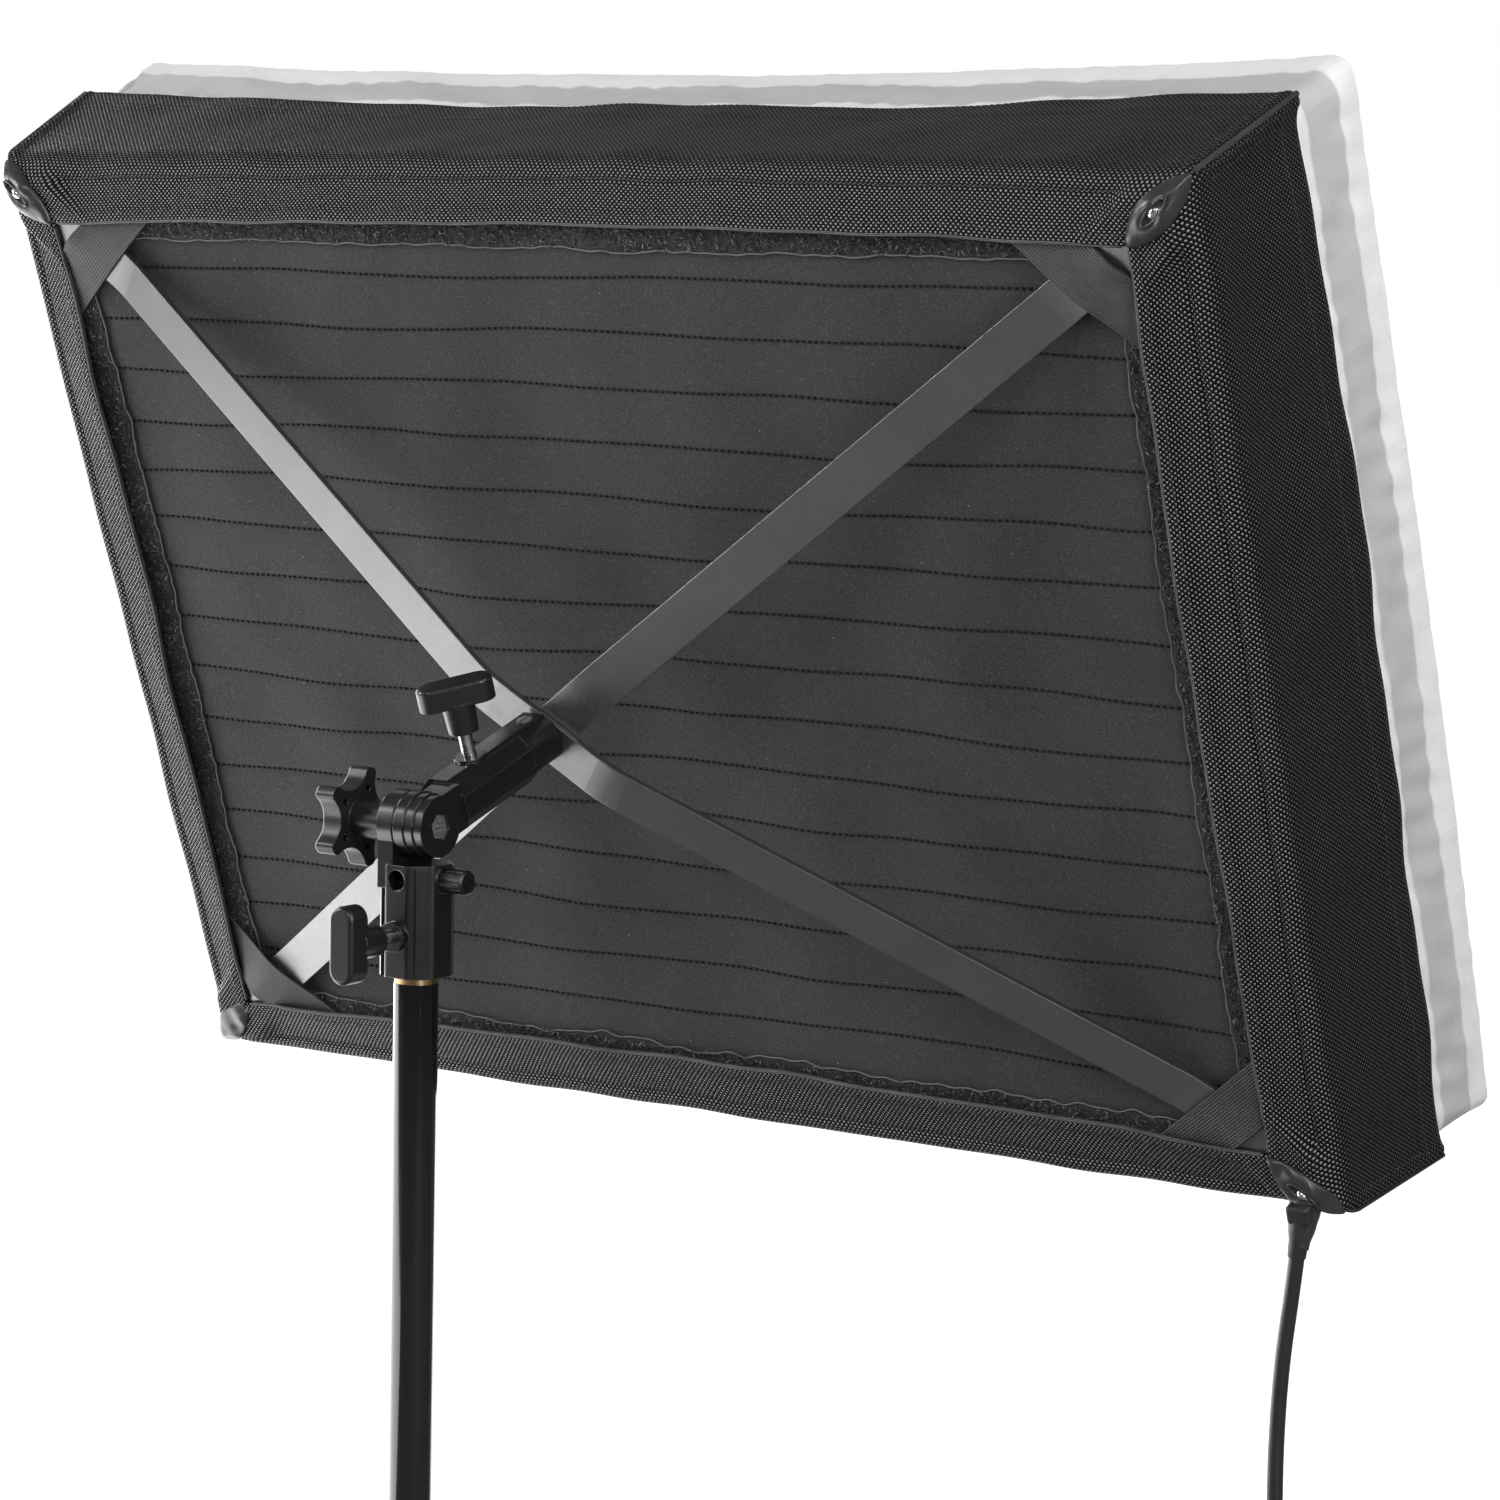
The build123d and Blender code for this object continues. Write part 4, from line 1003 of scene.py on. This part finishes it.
def cap_ring(count_side=150, count_corner=10):
    """Round the cap: side name, along and outward shares at each station, with rounded corners."""
    a, b = CAP_FRONT_HALF
    r = CAP_ROUND
    stations = []
    for side, direction in (("top", 1), ("right", -1), ("bottom", -1), ("left", 1)):
        half = (a if SIDES[side][0] == 0 else b) - r
        for t in np.linspace(-half, half, count_side, endpoint=False):
            stations.append((side, direction * t, 0.0))
        for k in range(count_corner):
            stations.append((side, direction * half, (k + 0.5) / count_corner))
    return stations


def cap_axes(side):
    """Directions out of a side of the cap and out of the next one round, in x and z."""
    return np.array(CAP_OUT[side], float), np.array(CAP_OUT[CAP_NEXT[side]], float)


def cap_normal(station):
    """Direction out of the cap's outline, in x and z."""
    side, _, turn = station
    out, ahead = cap_axes(side)
    angle = turn * math.pi / 2
    return out * math.cos(angle) + ahead * math.sin(angle)


def cap_point_xy(station, pair):
    """(x, z) on the cap's outline of the given half width and height."""
    side, along, turn = station
    out, ahead = cap_axes(side)
    grow = pair[0] / CAP_FRONT_HALF[0], pair[1] / CAP_FRONT_HALF[1]
    if turn == 0:
        base = np.array([along * grow[0], 0]) if SIDES[side][0] == 0 else np.array([0, along * grow[1]])
        return base + out * (pair[1] if SIDES[side][1] == 2 else pair[0])
    centre = (out + ahead) * (np.array(pair) - CAP_ROUND)
    return centre + CAP_ROUND * cap_normal(station)


def closed_ring(rows):
    return np.concatenate([rows, rows[:, :1]], 1)


def cap_inward(station, forward):
    """How far the cap's cloth sags inward at a station."""
    side, along, turn = station
    half = CAP_FRONT_HALF[0] if SIDES[side][0] == 0 else CAP_FRONT_HALF[1]
    if turn:
        return 0.0
    middle = max(0.0, 1 - (along / (half - CAP_ROUND)) ** 2)
    to_front = (forward - CAP_REAR_Y) / (CAP_FRONT_Y - CAP_REAR_Y)
    return CAP_SAG[side] * middle * (0.75 + 0.25 * to_front)


def make_cap():
    stations = cap_ring()
    forward = np.concatenate([
        np.linspace(CAP_REAR_Y, SKIRT_FRONT_Y + 14, 12), np.linspace(SKIRT_FRONT_Y + 16, CAP_FRONT_Y - 14, 8),
        np.linspace(CAP_FRONT_Y - 12.5, CAP_FRONT_Y - 1.2, 9), [CAP_FRONT_Y - 0.5, CAP_FRONT_Y + 0.2],
    ])
    ripple, crease = waves(21, 8, 35, 120), waves(22, 7, 14, 34)
    points = np.zeros((len(forward), len(stations), 3))
    travel = travelled([cap_point_xy(s, CAP_FRONT_HALF) for s in stations])
    around = np.concatenate([travel, [travel[-1] + CAP_LAST_STEP]])
    slope = (np.array(SKIRT_FRONT_HALF) - np.array(FOLD_HALF)) / (SKIRT_FRONT_Y - FOLD_Y)
    for i, y in enumerate(forward):
        pair = np.array(CAP_FRONT_HALF) - slope * (CAP_FRONT_Y - y) - CAP_CLOTH
        for k, station in enumerate(stations):
            x, z = cap_point_xy(station, pair)
            out = cap_normal(station)
            loose = smoothstep(0, 14, y - CAP_REAR_Y) * (1 - 0.6 * smoothstep(16, 0, CAP_FRONT_Y - y))
            ruck = 0.6 * ripple(travel[k], y) + 0.35 * crease(travel[k], y)
            push = loose * ruck - cap_inward(station, y)
            points[i, k] = (x + out[0] * push, y, z + out[1] * push)
    front_hem = smoothstep(13.2, 12.4, CAP_FRONT_Y - forward)
    rear_hem = smoothstep(10.5, 9.5, forward - SKIRT_FRONT_Y)
    layers_and_painted_light = 1 + np.maximum(front_hem, rear_hem)
    closed = closed_ring(points)
    cloth = np.broadcast_arrays(around, forward[:, None] - CAP_REAR_Y)
    layer_grid = np.broadcast_to(layers_and_painted_light[:, None], closed.shape[:2])
    thick = CAP_CLOTH * (0.75 + 0.6 * (layer_grid - 1))
    extra = {"layers_and_painted_light": layer_grid}
    wall = thick_sheet("diffuser_wall_cloth", closed, thick, "diffuser", DIFFUSER, cloth, extra, ring=True)
    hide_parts(*[f"diffuser_{side}" for side in SIDES])
    make_cap_front(points[-1])
    make_loop_tape(points, forward, around, stations)


def make_loop_tape(points, forward, around, stations):
    """Soft tape sewn outside the cap's rear edge, which the skirt's hooks hold."""
    rows = forward < SKIRT_FRONT_Y - 0.2
    out = np.array([[n[0], 0, n[1]] for n in (cap_normal(s) for s in stations)])
    closed = closed_ring(points[rows] + out * 0.9)
    cloth = np.broadcast_arrays(around, forward[rows][:, None])
    tape = thick_sheet("diffuser_loop_strip", closed, 0.7, "diffuser", WHITE_TAPE, cloth, ring=True)
    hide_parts("diffuser_loop_tape")


def make_cap_front(rim):
    """The cap's front cloth: rings from its edge in to the middle, slightly bellied."""
    rings = np.concatenate([[1.0, 0.997, 0.99, 0.975, 0.965], np.linspace(0.955, 0.0, 46)])
    belly, crease = waves(31, 7, 120, 320), waves(32, 8, 26, 70)
    points = np.zeros((len(rings), len(rim), 3))
    for i, share in enumerate(rings):
        x, z = rim[:, 0] * share, rim[:, 2] * share
        near = 1 - share
        bulge = 3.2 * smoothstep(0, 0.9, near) * (0.7 + 0.3 * belly(x, z))
        wrinkle = 0.7 * crease(x, z) * smoothstep(0, 0.05, near) * (0.25 + 0.75 * share ** 2)
        points[i] = np.stack([x, rim[:, 1] + bulge + wrinkle, z], -1)
    closed = closed_ring(points)
    closed[-1] = closed[-1].mean(0)
    # Painted light: the face is painted a little whiter than the wall, which reads darker with the dark skirt
    # close behind it.
    layers_and_painted_light = 1.3 + 0.7 * smoothstep(0.958, 0.966, rings)[:, None] * np.ones(closed.shape[1])
    face = thick_sheet(
        "diffuser_front_cloth", closed, CAP_CLOTH, "diffuser", DIFFUSER, (closed[..., 0], closed[..., 2]),
        {"layers_and_painted_light": layers_and_painted_light}, ring=True,
    )
    weld(face)
    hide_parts("diffuser_face")


# ---- cable -----------------------------------------------------------------------------------------
# The route's points are measured from the tilt axis, in metres.
CABLE_ROUTE = [
    (0.3005, 0.2265, -0.180), (0.298, 0.2275, -0.199), (0.294, 0.2286, -0.227), (0.292, 0.2292, -0.262),
    (0.293, 0.2288, -0.304), (0.2956, 0.2276, -0.349), (0.2968, 0.2264, -0.393), (0.296, 0.226, -0.434),
    (0.295, 0.226, -0.466),
]
CABLE_DIAMETER = 0.007


def make_cable():
    curve = bpy.data.curves.new("mat_cable_lead", "CURVE")
    curve.dimensions, curve.resolution_u, curve.bevel_resolution = "3D", 16, 6
    curve.bevel_depth, curve.use_fill_caps = CABLE_DIAMETER / 2, True
    spline = curve.splines.new("NURBS")
    spline.points.add(len(CABLE_ROUTE) - 1)
    for point, place in zip(spline.points, CABLE_ROUTE):
        point.co = (*(Vector(place) + TILT_AXIS), 1)
    spline.order_u, spline.use_endpoint_u = 3, True
    curve.materials.append(CABLE_JACKET)
    cable = link("mat_cable_lead", curve)
    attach(cable, "light")
    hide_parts("mat_cable")


def make_cable_tab():
    """Creased vinyl tab of the corner pocket, wrapped round the cable's anchor."""
    line = np.linspace((303.6, 229.5, -147.0), (301.2, 226.3, -176.0), 26)
    share = np.linspace(0, 1, 26)
    radius = 7.2 * smoothstep(-0.25, 0.1, share) - 2.4 * smoothstep(0.45, 1.0, share)
    radius = radius + 0.15 * np.sin(share * 19) * smoothstep(0, 0.3, share)
    line = line + np.array([0, 0, TILT_AXIS.z / MM])
    place = Matrix.Identity(4)
    tab = tube("cable_tab", line, radius, "light", VINYL, 18, flatten=0.86, place=place)


make_camera()
make_stage()
dress_cad_nodes()
make_cable()
make_cable_tab()
make_skirt()
make_hook_tapes()
make_corner_seams()
make_mat()
make_loop_band()
for corner, (sx, sz) in CORNERS.items():
    make_strap(corner, sx, sz)
    make_pocket(corner, sx, sz)
make_cap()
